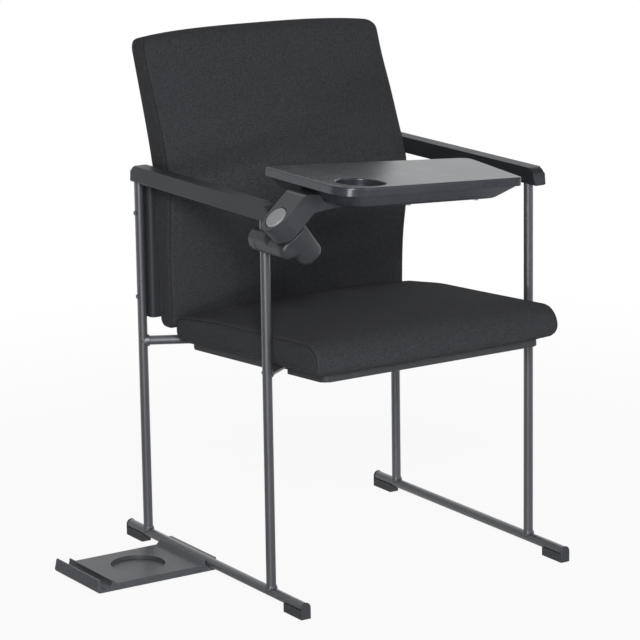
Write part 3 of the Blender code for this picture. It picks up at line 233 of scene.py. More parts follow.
def counted(tree, vector, size):
    """Coordinates counted in steps of this size."""
    values = {0: vector, "Scale": reckon(tree, "DIVIDE", 1.0, size)}
    return add(tree, "ShaderNodeVectorMath", values, operation="SCALE").outputs[0]


def noise(tree, vector, scale, detail, dimensions="3D"):
    """The outputs of a Noise Texture node."""
    values = {"Vector": vector, "Scale": scale, "Detail": detail}
    return add(tree, "ShaderNodeTexNoise", values, noise_dimensions=dimensions).outputs


def grain_group():
    """Fine moulded or sprayed texture: a slow tone and a close-set height, both from 0 to 1."""
    tree, given, result = new_tree(
        "fine_grain", "ShaderNodeTree",
        {"Vector": "Vector", "Pitch": "Float"}, {"Tone": "Float", "Height": "Float"},
    )
    fine = noise(tree, counted(tree, given["Vector"], given["Pitch"]), 1.0, 2.0)["Fac"]
    slow = noise(tree, given["Vector"], CLOUD_SCALE, 4.0)["Fac"]
    clouds = reckon(tree, "MULTIPLY", slow, GRAIN_SHARES[1])
    tone = reckon(tree, "MULTIPLY_ADD", fine, GRAIN_SHARES[0], clouds)
    feed(tree, result["Tone"], tone)
    feed(tree, result["Height"], fine)
    return tree


FINE_GRAIN = grain_group()


def toned(tree, source, span, tones):
    """A colour between two tones, over this span of the source."""
    ramp = add(tree, "ShaderNodeValToRGB", {0: source})
    for stop, place, tone in zip(ramp.color_ramp.elements, span, tones):
        stop.position, stop.color = place, (*tone, 1)
    return ramp.outputs["Color"]


def relief(tree, height, depth):
    """The normal of a bump of this depth."""
    return add(tree, "ShaderNodeBump", {"Distance": depth, "Height": height}).outputs["Normal"]


def shaded(name, values):
    """A material with these values in its shader, its node tree and the shader's inputs."""
    material = bpy.data.materials.new(name)
    material.use_nodes = True
    shader = material.node_tree.nodes["Principled BSDF"].inputs
    for label, value in values.items():
        shader[label].default_value = value
    return material, material.node_tree, shader


def grained(name, tones, roughness, pitch, depth, metallic=0.0, shine=0.5):
    """A finish with fine grain: two tones, a range of roughness and a bump of this depth."""
    values = {"Metallic": metallic, "Specular IOR Level": shine, "Specular Tint": COOL}
    material, tree, shader = shaded(name, values)
    laid = {"Vector": add(tree, "ShaderNodeTexCoord").outputs["Object"], "Pitch": pitch}
    grain = add(tree, "ShaderNodeGroup", laid, node_tree=FINE_GRAIN).outputs
    feed(tree, shader["Base Color"], toned(tree, grain["Tone"], GRAIN_SPAN, tones))
    feed(tree, shader["Roughness"], mapped(tree, grain["Tone"], GRAIN_SPAN, roughness))
    feed(tree, shader["Normal"], relief(tree, grain["Height"], depth))
    return material


def settled(source, name):
    """The evaluated form of an object as a plain mesh object; the source is removed."""
    graph = bpy.context.evaluated_depsgraph_get()
    mesh = bpy.data.meshes.new_from_object(source.evaluated_get(graph))
    bpy.data.objects.remove(source, do_unlink=True)
    mesh.name = name
    return placed(name, mesh)


def takes_place(piece, *nodes):
    """Gives a finished piece the body of the nodes that it stands for, and hides those nodes."""
    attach(piece, frame["nodes"][nodes[0]]["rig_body"])
    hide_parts(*nodes)
    return piece


def closed_copy(node):
    """The node's loose triangles as one closed mesh."""
    bm = bmesh.new()
    bm.from_mesh(frame["nodes"][node].data)
    bmesh.ops.remove_doubles(bm, verts=bm.verts, dist=MERGE)
    return bm


def raw_piece(bm, node, material):
    """An object for modifiers to finish, from a mesh that is ready."""
    mesh = bpy.data.meshes.new(node + "_raw")
    bm.to_mesh(mesh)
    bm.free()
    mesh.materials.append(material)
    return placed(node + "_raw", mesh)


def hard_piece(bm, node, material, edge=0.0):
    """A piece with narrow round edges and normals that follow its large faces, for the node."""
    raw = raw_piece(bm, node, material)
    raw.data.shade_smooth()
    raw.data.set_sharp_from_angle(angle=SHARP)
    if edge:
        bevel = raw.modifiers.new("edges", "BEVEL")
        set_up(bevel, width=edge, segments=EDGE_STEPS, limit_method="ANGLE", angle_limit=SHARP)
        set_up(bevel, harden_normals=True, use_clamp_overlap=True)
    raw.modifiers.new("even", "WEIGHTED_NORMAL").keep_sharp = True
    return takes_place(settled(raw, node + "_finished"), node)


def dressed(node, material, edge=0.0):
    """The node's solid as a hard piece, with each of its flat faces made whole."""
    bm = closed_copy(node)
    bmesh.ops.dissolve_limit(bm, angle_limit=FLAT, verts=bm.verts, edges=bm.edges)
    return hard_piece(bm, node, material, edge)


POWDER_COAT = grained(
    "satin_powder_coat", COAT_TONES, (0.34, 0.44), pitch=0.0011, depth=0.00002, shine=1.0,
)
lacquer = POWDER_COAT.node_tree.nodes["Principled BSDF"].inputs
lacquer["Coat Weight"].default_value = 0.75
lacquer["Coat Roughness"].default_value = 0.42
lacquer["Coat IOR"].default_value = 1.8
# Painted shade: the brackets' tones are darker than the frame's coat, for the shade beside the pad.
BRACKET_PAINTED_SHADE_TONES = ((0.024, 0.025, 0.028), (0.036, 0.038, 0.042))
BRACKET_SHADED_COAT = grained("bracket_coat_painted_shade", BRACKET_PAINTED_SHADE_TONES, (0.46, 0.56), pitch=0.0011, depth=0.00005)
for node in sorted(frame["nodes"]):
    if node.startswith(("runner", "front_upright", "rear_upright", "cross_tube")):
        dressed(node, POWDER_COAT)
for side in ("left", "right"):
    bracket = dressed(f"back_bracket_{side}", BRACKET_SHADED_COAT)
    highest = max(corner.co.z for corner in bracket.data.vertices)
    for corner in bracket.data.vertices:
        if corner.co.z > highest - MERGE:
            corner.co.z += BRACKET_RISE


# Welds: a ring of overlapping ripples where each upright stands on its runner and where each end of
# the brace meets an upright, laid by hand and coated over.
FRAME_HALF = 0.258
UPRIGHT_Y = 0.2005
RUNNER_HEIGHT = 0.019
BRACE_HEIGHT = 0.3713
BRACE_REACH = 0.2009  # along the seat's own axis, from its middle to an upright
SEAT_TILT = math.radians(3.65)
SEAT_FRAME = Matrix.Translation((0, 0, BRACE_HEIGHT)) @ Matrix.Rotation(-SEAT_TILT, 4, "X")
WELD_PITCH = 0.0021
WELD_SIZE = (0.0042, 0.0034)  # along and across a ripple
WELD_STAND = 0.0006  # off the tube that ends
WELD_LIFT = 0.0008  # off the tube that runs on
WELD_STEPS = 40
BEAD_SIDES, BEAD_RINGS = 10, 6


def copies(tree, points, shape, direction):
    """The shape on every point, turned along a direction, as one real mesh."""
    turn = add(tree, "FunctionNodeAlignRotationToVector", {"Vector": direction}, axis="Z")
    places = {"Points": points, "Instance": shape, "Rotation": turn.outputs[0]}
    row = add(tree, "GeometryNodeInstanceOnPoints", places)
    return add(tree, "GeometryNodeRealizeInstances", {0: row.outputs[0]}).outputs[0]


def coated(tree, shape, finish, result):
    """Feeds the tree's result with the shape in this finish."""
    coat = add(tree, "GeometryNodeSetMaterial", {"Geometry": shape, "Material": finish})
    feed(tree, result, coat.outputs[0])


def row_tree():
    """Rounded beads at an even pitch along the lines of a mesh."""
    inputs = {"Path": "Geometry", "Pitch": "Float", "Length": "Float", "Thickness": "Float",
              "Finish": "Material"}
    outputs = {"Row": "Geometry"}
    tree, given, result = new_tree("row_along_path", "GeometryNodeTree", inputs, outputs)
    line = add(tree, "GeometryNodeMeshToCurve", {0: given["Path"]}).outputs[0]
    spacing = {"Curve": line, "Length": given["Pitch"]}
    even = add(tree, "GeometryNodeResampleCurve", spacing, mode="LENGTH").outputs[0]
    ball = {"Segments": BEAD_SIDES, "Rings": BEAD_RINGS, "Radius": 0.5}
    bead = add(tree, "GeometryNodeMeshUVSphere", ball).outputs["Mesh"]
    thick, length = given["Thickness"], given["Length"]
    size = add(tree, "ShaderNodeCombineXYZ", {0: thick, 1: thick, 2: length}).outputs[0]
    drawn = add(tree, "GeometryNodeTransform", {"Geometry": bead, "Scale": size}).outputs[0]
    tangent = add(tree, "GeometryNodeInputTangent").outputs[0]
    row = copies(tree, even, drawn, tangent)
    smooth = add(tree, "GeometryNodeSetShadeSmooth", {0: row}).outputs[0]
    coated(tree, smooth, given["Finish"], result["Row"])
    return tree


ROW_ALONG_PATH = row_tree()


def grown(name, mesh, tree, **values):
    """A plain mesh object from a node tree's work on this mesh, with values for its inputs."""
    seed = placed(name + "_seed", mesh)
    nodes = seed.modifiers.new("nodes", "NODES")
    nodes.node_group = tree
    for item in tree.interface.items_tree:
        if item.in_out == "INPUT" and item.name in values:
            nodes[item.identifier] = values[item.name]
    return settled(seed, name)


def paths(name, lines, closed):
    """A mesh of lines, each a list of points."""
    points, edges = [], []
    for line in lines:
        first = len(points)
        points += [tuple(point) for point in line]
        edges += [(first + i, first + i + 1) for i in range(len(line) - 1)]
        if closed:
            edges.append((first + len(line) - 1, first))
    mesh = bpy.data.meshes.new(name)
    mesh.from_pydata(points, edges, [])
    return mesh


def weld_line(corner, leaves, meets):
    """The ring where a tube that leaves the corner meets a tube of the same size."""
    leaves = Vector(leaves).normalized()
    meets = Vector(meets)
    side = leaves.cross(meets).normalized()
    meets = side.cross(leaves)
    radius = TUBE_RADIUS + WELD_STAND
    line = []
    for k in range(WELD_STEPS):
        turn = 2 * math.pi * k / WELD_STEPS
        out = meets * math.cos(turn) + side * math.sin(turn)
        rise = radius * abs(math.cos(turn)) + WELD_LIFT
        line.append(Vector(corner) + out * radius + leaves * rise)
    return line


weld_lines = []
for x in (-FRAME_HALF, FRAME_HALF):
    for y in (-UPRIGHT_Y, UPRIGHT_Y):
        weld_lines.append(weld_line((x, y, RUNNER_HEIGHT), (0, 0, 1), (0, 1, 0)))
        joint = SEAT_FRAME @ Vector((x, math.copysign(BRACE_REACH, y), 0))
        weld_lines.append(weld_line(joint, SEAT_FRAME @ Vector() - joint, (0, 0, 1)))
welds = grown(
    "weld_ripples", paths("weld_lines", weld_lines, True), ROW_ALONG_PATH,
    Pitch=WELD_PITCH, Length=WELD_SIZE[0], Thickness=WELD_SIZE[1], Finish=POWDER_COAT,
)
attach(welds, "chair")


# Feet: black injection-moulded nylon, each a saddle under the runner's end with a cap over the end
# and a plug that is pressed into the bore of the tube.
FOOT_TONES = ((0.038, 0.040, 0.044), (0.056, 0.058, 0.063))
FOOT_NYLON = grained("foot_nylon", FOOT_TONES, (0.44, 0.58), pitch=0.0007, depth=0.00008)
for end in ("front", "rear"):
    for side in ("left", "right"):
        dressed(f"foot_{end}_{side}", FOOT_NYLON, edge=0.0009)


# Armrests: solid polypropylene bars, moulded with a fine spark-eroded grain and rounded tips, and
# pushed down over the upper ends of the two uprights of a side.
ARM_TONES = ((0.017, 0.018, 0.021), (0.027, 0.029, 0.033))
ARM_PLASTIC = grained("armrest_grain", ARM_TONES, (0.40, 0.54), pitch=0.0006, depth=0.00007)
for side in ("left", "right"):
    dressed(f"armrest_{side}", ARM_PLASTIC, edge=0.0008)


# Tablet hardware: a two-part clamp round the front upright, with a tapered socket for the pivot,
# and a swing arm, moulded in charcoal plastic, with a light grey cap pressed over the pivot bolt.
CAP_TONES = ((0.29, 0.305, 0.31), (0.36, 0.375, 0.38))
CAP_PLASTIC = grained("cap_grey", CAP_TONES, (0.32, 0.42), pitch=0.0006, depth=0.00004)
PIVOT_TONES = ((0.027, 0.028, 0.032), (0.040, 0.042, 0.046))
PIVOT_PLASTIC = grained(
    "pivot_grain", PIVOT_TONES, (0.30, 0.42), pitch=0.0005, depth=0.00004, shine=0.7,
)
PIVOT_PLACE = Vector((-0.277, -0.266, 0.650))
PIVOT_TILT = math.radians(42.8)
PIVOT_AXIS = Vector((-math.sin(PIVOT_TILT), 0, math.cos(PIVOT_TILT)))
CAP_SHRINK = 0.94  # leaves the dark gap round the cap
CLAMP_CELL = 0.0008
CLAMP_FILL = 0.009  # the clamp's hollow corners are filled to this radius
CLAMP_SOFTENING = 5
ARM_ROOM = (0.029, 0.0356)  # behind and below the pivot, kept clear for the arm
ROOM_SLOPE = 0.5  # of the clamp's surface behind that room
for node in ("clamp_rear", "friction_washer"):
    dressed(node, PIVOT_PLASTIC, edge=0.0006)


def moulded(node, material):
    """The node's solid as one soft moulding, its hollow corners filled, in place of the node.

    The form is grown and shrunk again, and stays below the arm that turns on it.
    """
    raw = raw_piece(closed_copy(node), node, material)
    for step, growth in enumerate((0, CLAMP_FILL, -CLAMP_FILL)):
        if growth:
            set_up(raw.modifiers.new(f"grow_{step}", "DISPLACE"), mid_level=0, strength=growth)
        even = raw.modifiers.new(f"even_{step}", "REMESH")
        set_up(even, mode="VOXEL", voxel_size=CLAMP_CELL, use_smooth_shade=True)
        soft = raw.modifiers.new(f"soft_{step}", "SMOOTH")
        set_up(soft, factor=0.5, iterations=CLAMP_SOFTENING)
    piece = settled(raw, node + "_finished")
    rear = PIVOT_PLACE.y + ARM_ROOM[0]
    for corner in piece.data.vertices:
        allowed = max(corner.co.y - rear, 0) * ROOM_SLOPE - ARM_ROOM[1]
        over = (corner.co - PIVOT_PLACE).dot(PIVOT_AXIS) - allowed
        if over > 0:
            corner.co -= PIVOT_AXIS * over
    return takes_place(piece, node)


moulded("clamp_body", PIVOT_PLASTIC)
dressed("swing_arm", PIVOT_PLASTIC, edge=0.0013)
cap = dressed("pivot_cap", CAP_PLASTIC, edge=0.0010)
for corner in cap.data.vertices:
    foot = PIVOT_PLACE + PIVOT_AXIS * (corner.co - PIVOT_PLACE).dot(PIVOT_AXIS)
    corner.co = foot + (corner.co - foot) * CAP_SHRINK


# Tablet: a dark moulded top with a deep edge and a cup recess, closed from below by a sloped dish
# that is screwed to it and to the foot of the swing arm.
TABLET_TONES = ((0.030, 0.032, 0.038), (0.040, 0.043, 0.050))
TABLET_DROOP = math.radians(4.4)  # towards the free end
TABLET_FRAME = Matrix.Translation((-0.225, -0.266, 0.7075)) @ Matrix.Rotation(TABLET_DROOP, 4, "Y")
TABLET_CORNERS = [(0, -0.122), (0.361, -0.087), (0.402, 0.121), (0, 0.121)]
TABLET_RADII = (0.042, 0.012, 0.018, 0.012)
TABLET_EDGE = 0.014
TABLET_RIM = 0.0025
RIM_STEPS = 5
CORNER_STEPS = 16
CUP_PLACE = (0.065, -0.063)
CUP_RADIUS = 0.039
CUP_DEPTH = 0.0145
CUP_WALL = 0.0025
CUP_STEPS = 96
LIP_STEPS = 4
BELLY_INSET = 0.0053
BELLY_DEPTH = 0.036
BELLY_SLOPES = (0.022, 0.045)  # run of the slope at the outer and the free end
BELLY_SIDE = 0.022  # and at the front and the rear
BELLY_SHELL = 0.003
BELLY_ROUND = 0.20  # share of the slope that the lower edge is rounded over
BELLY_STEPS = 8


def with_neighbours(corners):
    """Each corner of a polygon, with the one before it and the one after it."""
    places = [Vector(corner) for corner in corners]
    return zip(places, places[-1:] + places[:-1], places[1:] + places[:1])


def round_corners(corners, radii, steps):
    """The arcs of a polygon with these anticlockwise corners and radii, one list of points each."""
    arcs = []
    for (here, before, after), radius in zip(with_neighbours(corners), radii):
        into, away = (here - before).normalized(), (after - here).normalized()
        turn = -into.angle_signed(away)
        start = here - into * radius * math.tan(turn / 2)
        centre = start + Vector((-into.y, into.x)) * radius
        turns = [Matrix.Rotation(turn * k / steps, 2) for k in range(steps + 1)]
        arcs.append([centre + spin @ (start - centre) for spin in turns])
    return arcs


def tablet_loop(bm, inset, height):
    """One line round the edge of the tablet, moved inwards."""
    inner = []
    for here, before, after in with_neighbours(TABLET_CORNERS):
        lefts = [Vector((-d.y, d.x)).normalized() for d in (here - before, after - here)]
        inner.append(here + inset * (lefts[0] + lefts[1]) / (1 + lefts[0].dot(lefts[1])))
    arcs = round_corners(inner, [radius - inset for radius in TABLET_RADII], CORNER_STEPS)
    return [bm.verts.new((point.x, point.y, height)) for arc in arcs for point in arc]


def cup_loop(bm, radius, height):
    """One line round the cup recess."""
    turns = [2 * math.pi * k / CUP_STEPS for k in range(CUP_STEPS)]
    x, y = CUP_PLACE
    return [
        bm.verts.new((x + radius * math.cos(turn), y + radius * math.sin(turn), height))
        for turn in turns
    ]


def skin(bm, loops):
    """Faces between loops of equal length."""
    for lower, upper in zip(loops, loops[1:]):
        for i in range(len(lower)):
            bm.faces.new((lower[i - 1], lower[i], upper[i], upper[i - 1]))


def sheet_between(bm, *loops):
    """A flat face with a hole."""
    edges = [bm.edges.get((loop[i - 1], loop[i])) for loop in loops for i in range(len(loop))]
    bmesh.ops.triangle_fill(bm, edges=edges, use_beauty=True)


def quarter_turn(steps):
    """Sine and cosine of the angles of a quarter turn."""
    turns = [math.pi / 2 * k / steps for k in range(steps + 1)]
    return [(math.sin(turn), math.cos(turn)) for turn in turns]


def tablet_top():
    """The writing surface with its rounded rim, edge and cup recess."""
    bm = bmesh.new()
    outer = [tablet_loop(bm, 0, -TABLET_EDGE)]
    for sine, cosine in quarter_turn(RIM_STEPS):
        outer.append(tablet_loop(bm, TABLET_RIM * (1 - cosine), TABLET_RIM * (sine - 1)))
    skin(bm, outer)
    cup = []
    for sine, cosine in quarter_turn(LIP_STEPS):
        cup.append(cup_loop(bm, CUP_RADIUS + TABLET_RIM * (1 - sine), TABLET_RIM * (cosine - 1)))
    for sine, cosine in quarter_turn(LIP_STEPS):
        height = TABLET_RIM * (1 - sine) - CUP_DEPTH
        cup.append(cup_loop(bm, CUP_RADIUS - TABLET_RIM * (1 - cosine), height))
    skin(bm, cup)
    bm.faces.new(cup[-1])
    depths = (-TABLET_EDGE, -CUP_DEPTH - CUP_WALL)
    well = [cup_loop(bm, CUP_RADIUS + CUP_WALL, height) for height in depths]
    skin(bm, well)
    bm.faces.new(well[-1])
    sheet_between(bm, outer[-1], cup[0])
    sheet_between(bm, outer[0], well[0])
    tablet_moulding(bm, "tablet_top")


def belly_loop(bm, inset, share, height):
    """One line round the dish, drawn in by this share of its slopes."""
    (_, front), _, (length, rear), _ = TABLET_CORNERS
    outer, free = (share * run for run in BELLY_SLOPES)
    middle = (front + rear) / 2
    narrowing = 1 - 2 * share * BELLY_SIDE / (rear - front)
    loop = tablet_loop(bm, BELLY_INSET + inset, height)
    for corner in loop:
        corner.co.x = outer + corner.co.x * (1 - (outer + free) / length)
        corner.co.y = middle + (corner.co.y - middle) * narrowing
    return loop


def tablet_base():
    """The dish below, a shell with sloped sides and a rounded lower edge."""
    bm = bmesh.new()
    slope = BELLY_DEPTH - TABLET_EDGE
    outer = [belly_loop(bm, 0, 0, -TABLET_EDGE)]
    for k in range(BELLY_STEPS + 1):
        part = k / BELLY_STEPS
        share = 1 + BELLY_ROUND * (2 * part - 1)
        height = BELLY_ROUND * slope * (1 - part) ** 2 - BELLY_DEPTH
        outer.append(belly_loop(bm, 0, share, height))
    inner = []
    for share in (0, 1):
        height = -TABLET_EDGE - share * (slope - BELLY_SHELL)
        inner.append(belly_loop(bm, BELLY_SHELL, share, height))
    skin(bm, outer)
    skin(bm, inner)
    skin(bm, [outer[0], inner[0]])
    bm.faces.new(outer[-1])
    bm.faces.new(inner[-1])
    tablet_moulding(bm, "tablet_base")


def tablet_moulding(bm, node):
    """The mesh as a hard piece in the tablet's place."""
    bmesh.ops.recalc_face_normals(bm, faces=bm.faces)
    bm.transform(TABLET_FRAME)
    hard_piece(bm, node, TABLET_PLASTIC)


TABLET_PLASTIC = grained(
    "tablet_satin", TABLET_TONES, (0.24, 0.32), pitch=0.0008, depth=0.00001, shine=0.75,
)
tablet_top()
tablet_base()


# Seat pan: dark grey moulded cover under the brace, screwed to the seat board, with a low rim that
# shows below the cushion and notches where the brace tubes pass.
PAN_TONES = ((0.034, 0.035, 0.037), (0.050, 0.051, 0.054))
PAN_PLASTIC = grained("pan_grain", PAN_TONES, (0.48, 0.62), pitch=0.0009, depth=0.0001)
dressed("seat_pan", PAN_PLASTIC, edge=0.0008)


# Row link: a glass-filled nylon plate that snaps over the runner, with an open channel for the next
# chair's runner and a shallow round recess between them.
LINK_TONES = ((0.070, 0.074, 0.082), (0.090, 0.095, 0.104))
LINK_NYLON = grained("link_nylon", LINK_TONES, (0.34, 0.46), pitch=0.0008, depth=0.00005)
dressed("row_link_plate", LINK_NYLON, edge=0.0007)


# Hidden board and fasteners: a birch plywood board under the cushion, and the zinc-plated steel
# bolts and disc spring that hold the clamp and the tablet's pivot.
WOOD_TONES = ((0.36, 0.25, 0.14), (0.52, 0.38, 0.23))
STEEL_TONES = ((0.36, 0.36, 0.37), (0.50, 0.50, 0.51))
BIRCH = grained("birch_ply", WOOD_TONES, (0.55, 0.75), pitch=0.004, depth=0.0001)
ZINC_STEEL = grained(
    "zinc_steel", STEEL_TONES, (0.28, 0.40), pitch=0.0005, depth=0.00003, metallic=1.0,
)
dressed("seat_board", BIRCH)
for node in ("clamp_bolt_1", "clamp_bolt_2", "pivot_bolt", "disc_spring"):
    dressed(node, ZINC_STEEL, edge=0.0003)


# Screws: headed steel with a hexagon socket, coated in the back brackets and zinc plated elsewhere,
# four each in the brackets, the back, the seat, the pan, the arm's foot and the tablet. Their sizes
# and places are those of the solids.
HEAD_SIDES, SHANK_SIDES, SOCKET_SIDES = 28, 14, 6
SOCKET_SHARE = 0.52  # of the head's radius
HEAD_SHARE = 0.85  # points further out than this share of the largest radius are the head's


def screw_tree():
    """Screws with a hexagon socket on the points of a mesh, along each point's own direction."""
    inputs = {"Seats": "Geometry", "Head Radius": "Float", "Head Height": "Float",
              "Shank Radius": "Float", "Shank Length": "Float", "Finish": "Material"}
    outputs = {"Screws": "Geometry"}
    tree, given, result = new_tree("socket_screws", "GeometryNodeTree", inputs, outputs)

    def post(sides, radius, depth, middle):
        """A cylinder along the screw."""
        values = {"Vertices": sides, "Radius": radius, "Depth": depth}
        made = add(tree, "GeometryNodeMeshCylinder", values).outputs["Mesh"]
        shift = add(tree, "ShaderNodeCombineXYZ", {2: middle}).outputs[0]
        moved = add(tree, "GeometryNodeTransform", {"Geometry": made, "Translation": shift})
        return moved.outputs[0]

    height, length = given["Head Height"], given["Shank Length"]
    head = post(HEAD_SIDES, given["Head Radius"], height, reckon(tree, "MULTIPLY", height, 0.5))
    across = reckon(tree, "MULTIPLY", given["Head Radius"], SOCKET_SHARE)
    socket = post(SOCKET_SIDES, across, height, height)
    both = {"Mesh 1": head, "Mesh 2": socket}
    hollow = add(tree, "GeometryNodeMeshBoolean", both, operation="DIFFERENCE").outputs["Mesh"]
    middle = reckon(tree, "MULTIPLY", length, -0.5)
    shank = post(SHANK_SIDES, given["Shank Radius"], length, middle)
    whole = add(tree, "GeometryNodeJoinGeometry", {0: hollow})
    feed(tree, whole.inputs[0], shank)
    name = {"Name": "outward"}
    outward = add(tree, "GeometryNodeInputNamedAttribute", name, data_type="FLOAT_VECTOR")
    screws = copies(tree, given["Seats"], whole.outputs[0], outward.outputs["Attribute"])
    coated(tree, screws, given["Finish"], result["Screws"])
    return tree


SOCKET_SCREWS = screw_tree()


def screw_form(node):
    """Seat, direction, head radius and height, shank radius and length of a screw's solid."""
    points = np.array([tuple(v.co) for v in frame["nodes"][node].data.vertices])
    points = np.unique(points.round(6), axis=0)
    spread, axes = np.linalg.eigh(np.cov((points - points.mean(0)).T))
    axis = axes[:, 0] if spread[1] - spread[0] > spread[2] - spread[1] else axes[:, 2]
    turned = points @ axes
    centre = axes @ (turned.max(0) + turned.min(0)) / 2
    along = (points - centre) @ axis
    off = np.linalg.norm(points - centre - np.outer(along, axis), axis=1)
    wide = off > off.max() * HEAD_SHARE
    if along[wide].mean() < 0:
        axis, along = -axis, -along
    seat = along[wide].min()
    shank = off[along < seat - 10 * MERGE].max()
    return centre + axis * seat, axis, off.max(), along.max() - seat, shank, seat - along.min()


def socket_screws(kind, finish):
    """One piece with the four screws of a kind."""
    nodes = [f"{kind}_{k}" for k in range(1, 5)]
    forms = [screw_form(node) for node in nodes]
    mesh = bpy.data.meshes.new(kind + "_seats")
    mesh.from_pydata([tuple(form[0]) for form in forms], [], [])
    outward = mesh.attributes.new("outward", "FLOAT_VECTOR", "POINT")
    for spot, form in zip(outward.data, forms):
        spot.vector = form[1]
    labels = ("Head Radius", "Head Height", "Shank Radius", "Shank Length")
    sizes = {label: float(size) for label, size in zip(labels, forms[0][2:])}
    piece = grown(kind + "s", mesh, SOCKET_SCREWS, Finish=finish, **sizes)
    takes_place(piece, *nodes)


socket_screws("bracket_screw", POWDER_COAT)
for kind in ("back_screw", "seat_screw", "pan_screw", "arm_screw", "tablet_screw"):
    socket_screws(kind, ZINC_STEEL)


# Upholstery: foam covered in a fine black woven cloth. One strip of cloth runs over the front, the
# top and the rear of each pad, and a flat gusset closes each side with a top-stitched seam.
CLOTH_TONES = ((0.026, 0.027, 0.030), (0.072, 0.074, 0.081))
CLOTH_SPAN = (0.30, 0.75)  # part of the weave's tone that the two tones spread over
CLOTH_ROUGHNESS = (0.95, 0.75)  # between the yarns and on them
# The crown share is painted light on the yarns' crowns, with painted shade between them.
SPECKLE, SPOTS, CROWN_PAINTED_LIGHT = 0.30, 0.45, 0.25  # shares of the weave's tone
YARN = 0.0011
YARN_RELIEF = 0.25  # share of a yarn's width
YARN_DIP = 0.45  # how far a yarn's crown falls off along it
YARN_WANDER = 0.5  # in yarns
WANDER_SCALE, SPOT_SCALE = 0.45, 0.8
CELL = 0.006
ARC_STEPS = 6
EDGE_TURNS = np.radians([25, 50, 75])
SEAM_DEPTH = 0.0022
SEAM_START = 0.3  # share of that depth where the strip ends
SEAM_WIDTH = 0.0032
GUSSET_ROWS = 5
GUSSET_SHARE = 0.40  # of the pad's thickness, from its edge to the last row
POCKET_WALL = (-0.0005, 0.0005)  # run of a pocket's wall, from its edge
SIM_FRAMES = 20
PRESSURE = 4.0
EVENING = 24  # passes that even out the swelling
STITCH_PITCH = 0.0043
STITCH_SIZE = (0.0027, 0.0018)
STITCH_SINK = 0.2  # share of its thickness that a stitch is drawn into the cloth
THREAD_TONES = ((0.003, 0.003, 0.004), (0.008, 0.008, 0.010))


def cloth_group():
    """Plain weave of slightly uneven yarns: a speckled tone and the height of the yarns.

    The tone has painted light on the yarns' crowns, and painted shade between them.
    """
    tree, given, result = new_tree(
        "woven_cloth", "ShaderNodeTree",
        {"Vector": "Vector", "Yarn": "Float"}, {"Tone": "Float", "Height": "Float"},
    )
    yarns = counted(tree, given["Vector"], given["Yarn"])
    wander = noise(tree, yarns, WANDER_SCALE, 2.0, "2D")["Color"]
    sway = {0: wander, 1: (YARN_WANDER, YARN_WANDER, 0), 2: yarns}
    uneven = add(tree, "ShaderNodeVectorMath", sway, operation="MULTIPLY_ADD").outputs[0]
    split = add(tree, "ShaderNodeSeparateXYZ", {0: uneven}).outputs
    across, along = split["X"], split["Y"]
    cells = [reckon(tree, "FLOOR", one) for one in (across, along)]
    over = reckon(tree, "FLOORED_MODULO", reckon(tree, "ADD", *cells), 2.0)
    crowns = []
    for one in (across, along):
        middle = reckon(tree, "SUBTRACT", reckon(tree, "FRACT", one), 0.5)
        crowns.append(reckon(tree, "COSINE", reckon(tree, "MULTIPLY", middle, math.pi)))
    soft = [reckon(tree, "MULTIPLY_ADD", crown, YARN_DIP, 1 - YARN_DIP) for crown in crowns]
    warp = reckon(tree, "MULTIPLY", crowns[0], soft[1])
    weft = reckon(tree, "MULTIPLY", crowns[1], soft[0])
    height = add(tree, "ShaderNodeMix", {0: over, 2: warp, 3: weft}).outputs[0]
    crossing = {"Vector": add(tree, "ShaderNodeCombineXYZ", enumerate(cells)).outputs[0]}
    speck = add(tree, "ShaderNodeTexWhiteNoise", crossing, noise_dimensions="2D").outputs["Value"]
    spots = noise(tree, yarns, SPOT_SCALE, 3.0, "2D")["Fac"]
    # Painted light: the yarns' crowns lighter than the hollows between them.
    tone = reckon(tree, "MULTIPLY", height, CROWN_PAINTED_LIGHT)
    tone = reckon(tree, "MULTIPLY_ADD", speck, SPECKLE, tone)
    feed(tree, result["Tone"], reckon(tree, "MULTIPLY_ADD", spots, SPOTS, tone))
    feed(tree, result["Height"], height)
    return tree


WOVEN_CLOTH = cloth_group()


def upholstery(name, read_uv):
    """The cloth, laid along the piece's UV map, or flat on the XZ plane of a piece without one."""
    values = {"Sheen Weight": 0.03, "Sheen Roughness": 0.45, "Specular IOR Level": 0.10}
    material, tree, shader = shaded(name, values)
    laid = add(tree, "ShaderNodeTexCoord").outputs["UV" if read_uv else "Object"]
    if not read_uv:
        upright = {"Vector": laid, "Rotation": (-math.pi / 2, 0, 0)}
        laid = add(tree, "ShaderNodeMapping", upright).outputs[0]
    values = {"Vector": laid, "Yarn": YARN}
    weave = add(tree, "ShaderNodeGroup", values, node_tree=WOVEN_CLOTH).outputs
    feed(tree, shader["Base Color"], toned(tree, weave["Tone"], CLOTH_SPAN, CLOTH_TONES))
    feed(tree, shader["Roughness"], mapped(tree, weave["Height"], (0, 1), CLOTH_ROUGHNESS))
    feed(tree, shader["Normal"], relief(tree, weave["Height"], YARN * YARN_RELIEF))
    return material


CLOTH = upholstery("black_cloth", True)


def side_outline(corners, radii, breaks):
    """Side view of a pad from anticlockwise corners and their rounding, in steps of about a cell.

    The first edge is the underside; breaks are shares of it that get a point of their own.
    """
    arcs = round_corners(corners, radii, ARC_STEPS)
    count = len(corners)
    points = []
    for i, bend in enumerate(arcs):
        points += bend[:-1]
        edge = Vector(corners[(i + 1) % count]) - Vector(corners[i])
        pieces = max(1, round(edge.length / CELL))
        shares = [k / pieces for k in range(pieces)] + (list(breaks) if i == 0 else [])
        points += [bend[-1].lerp(arcs[(i + 1) % count][0], share) for share in sorted(shares)]
    return np.array(points)


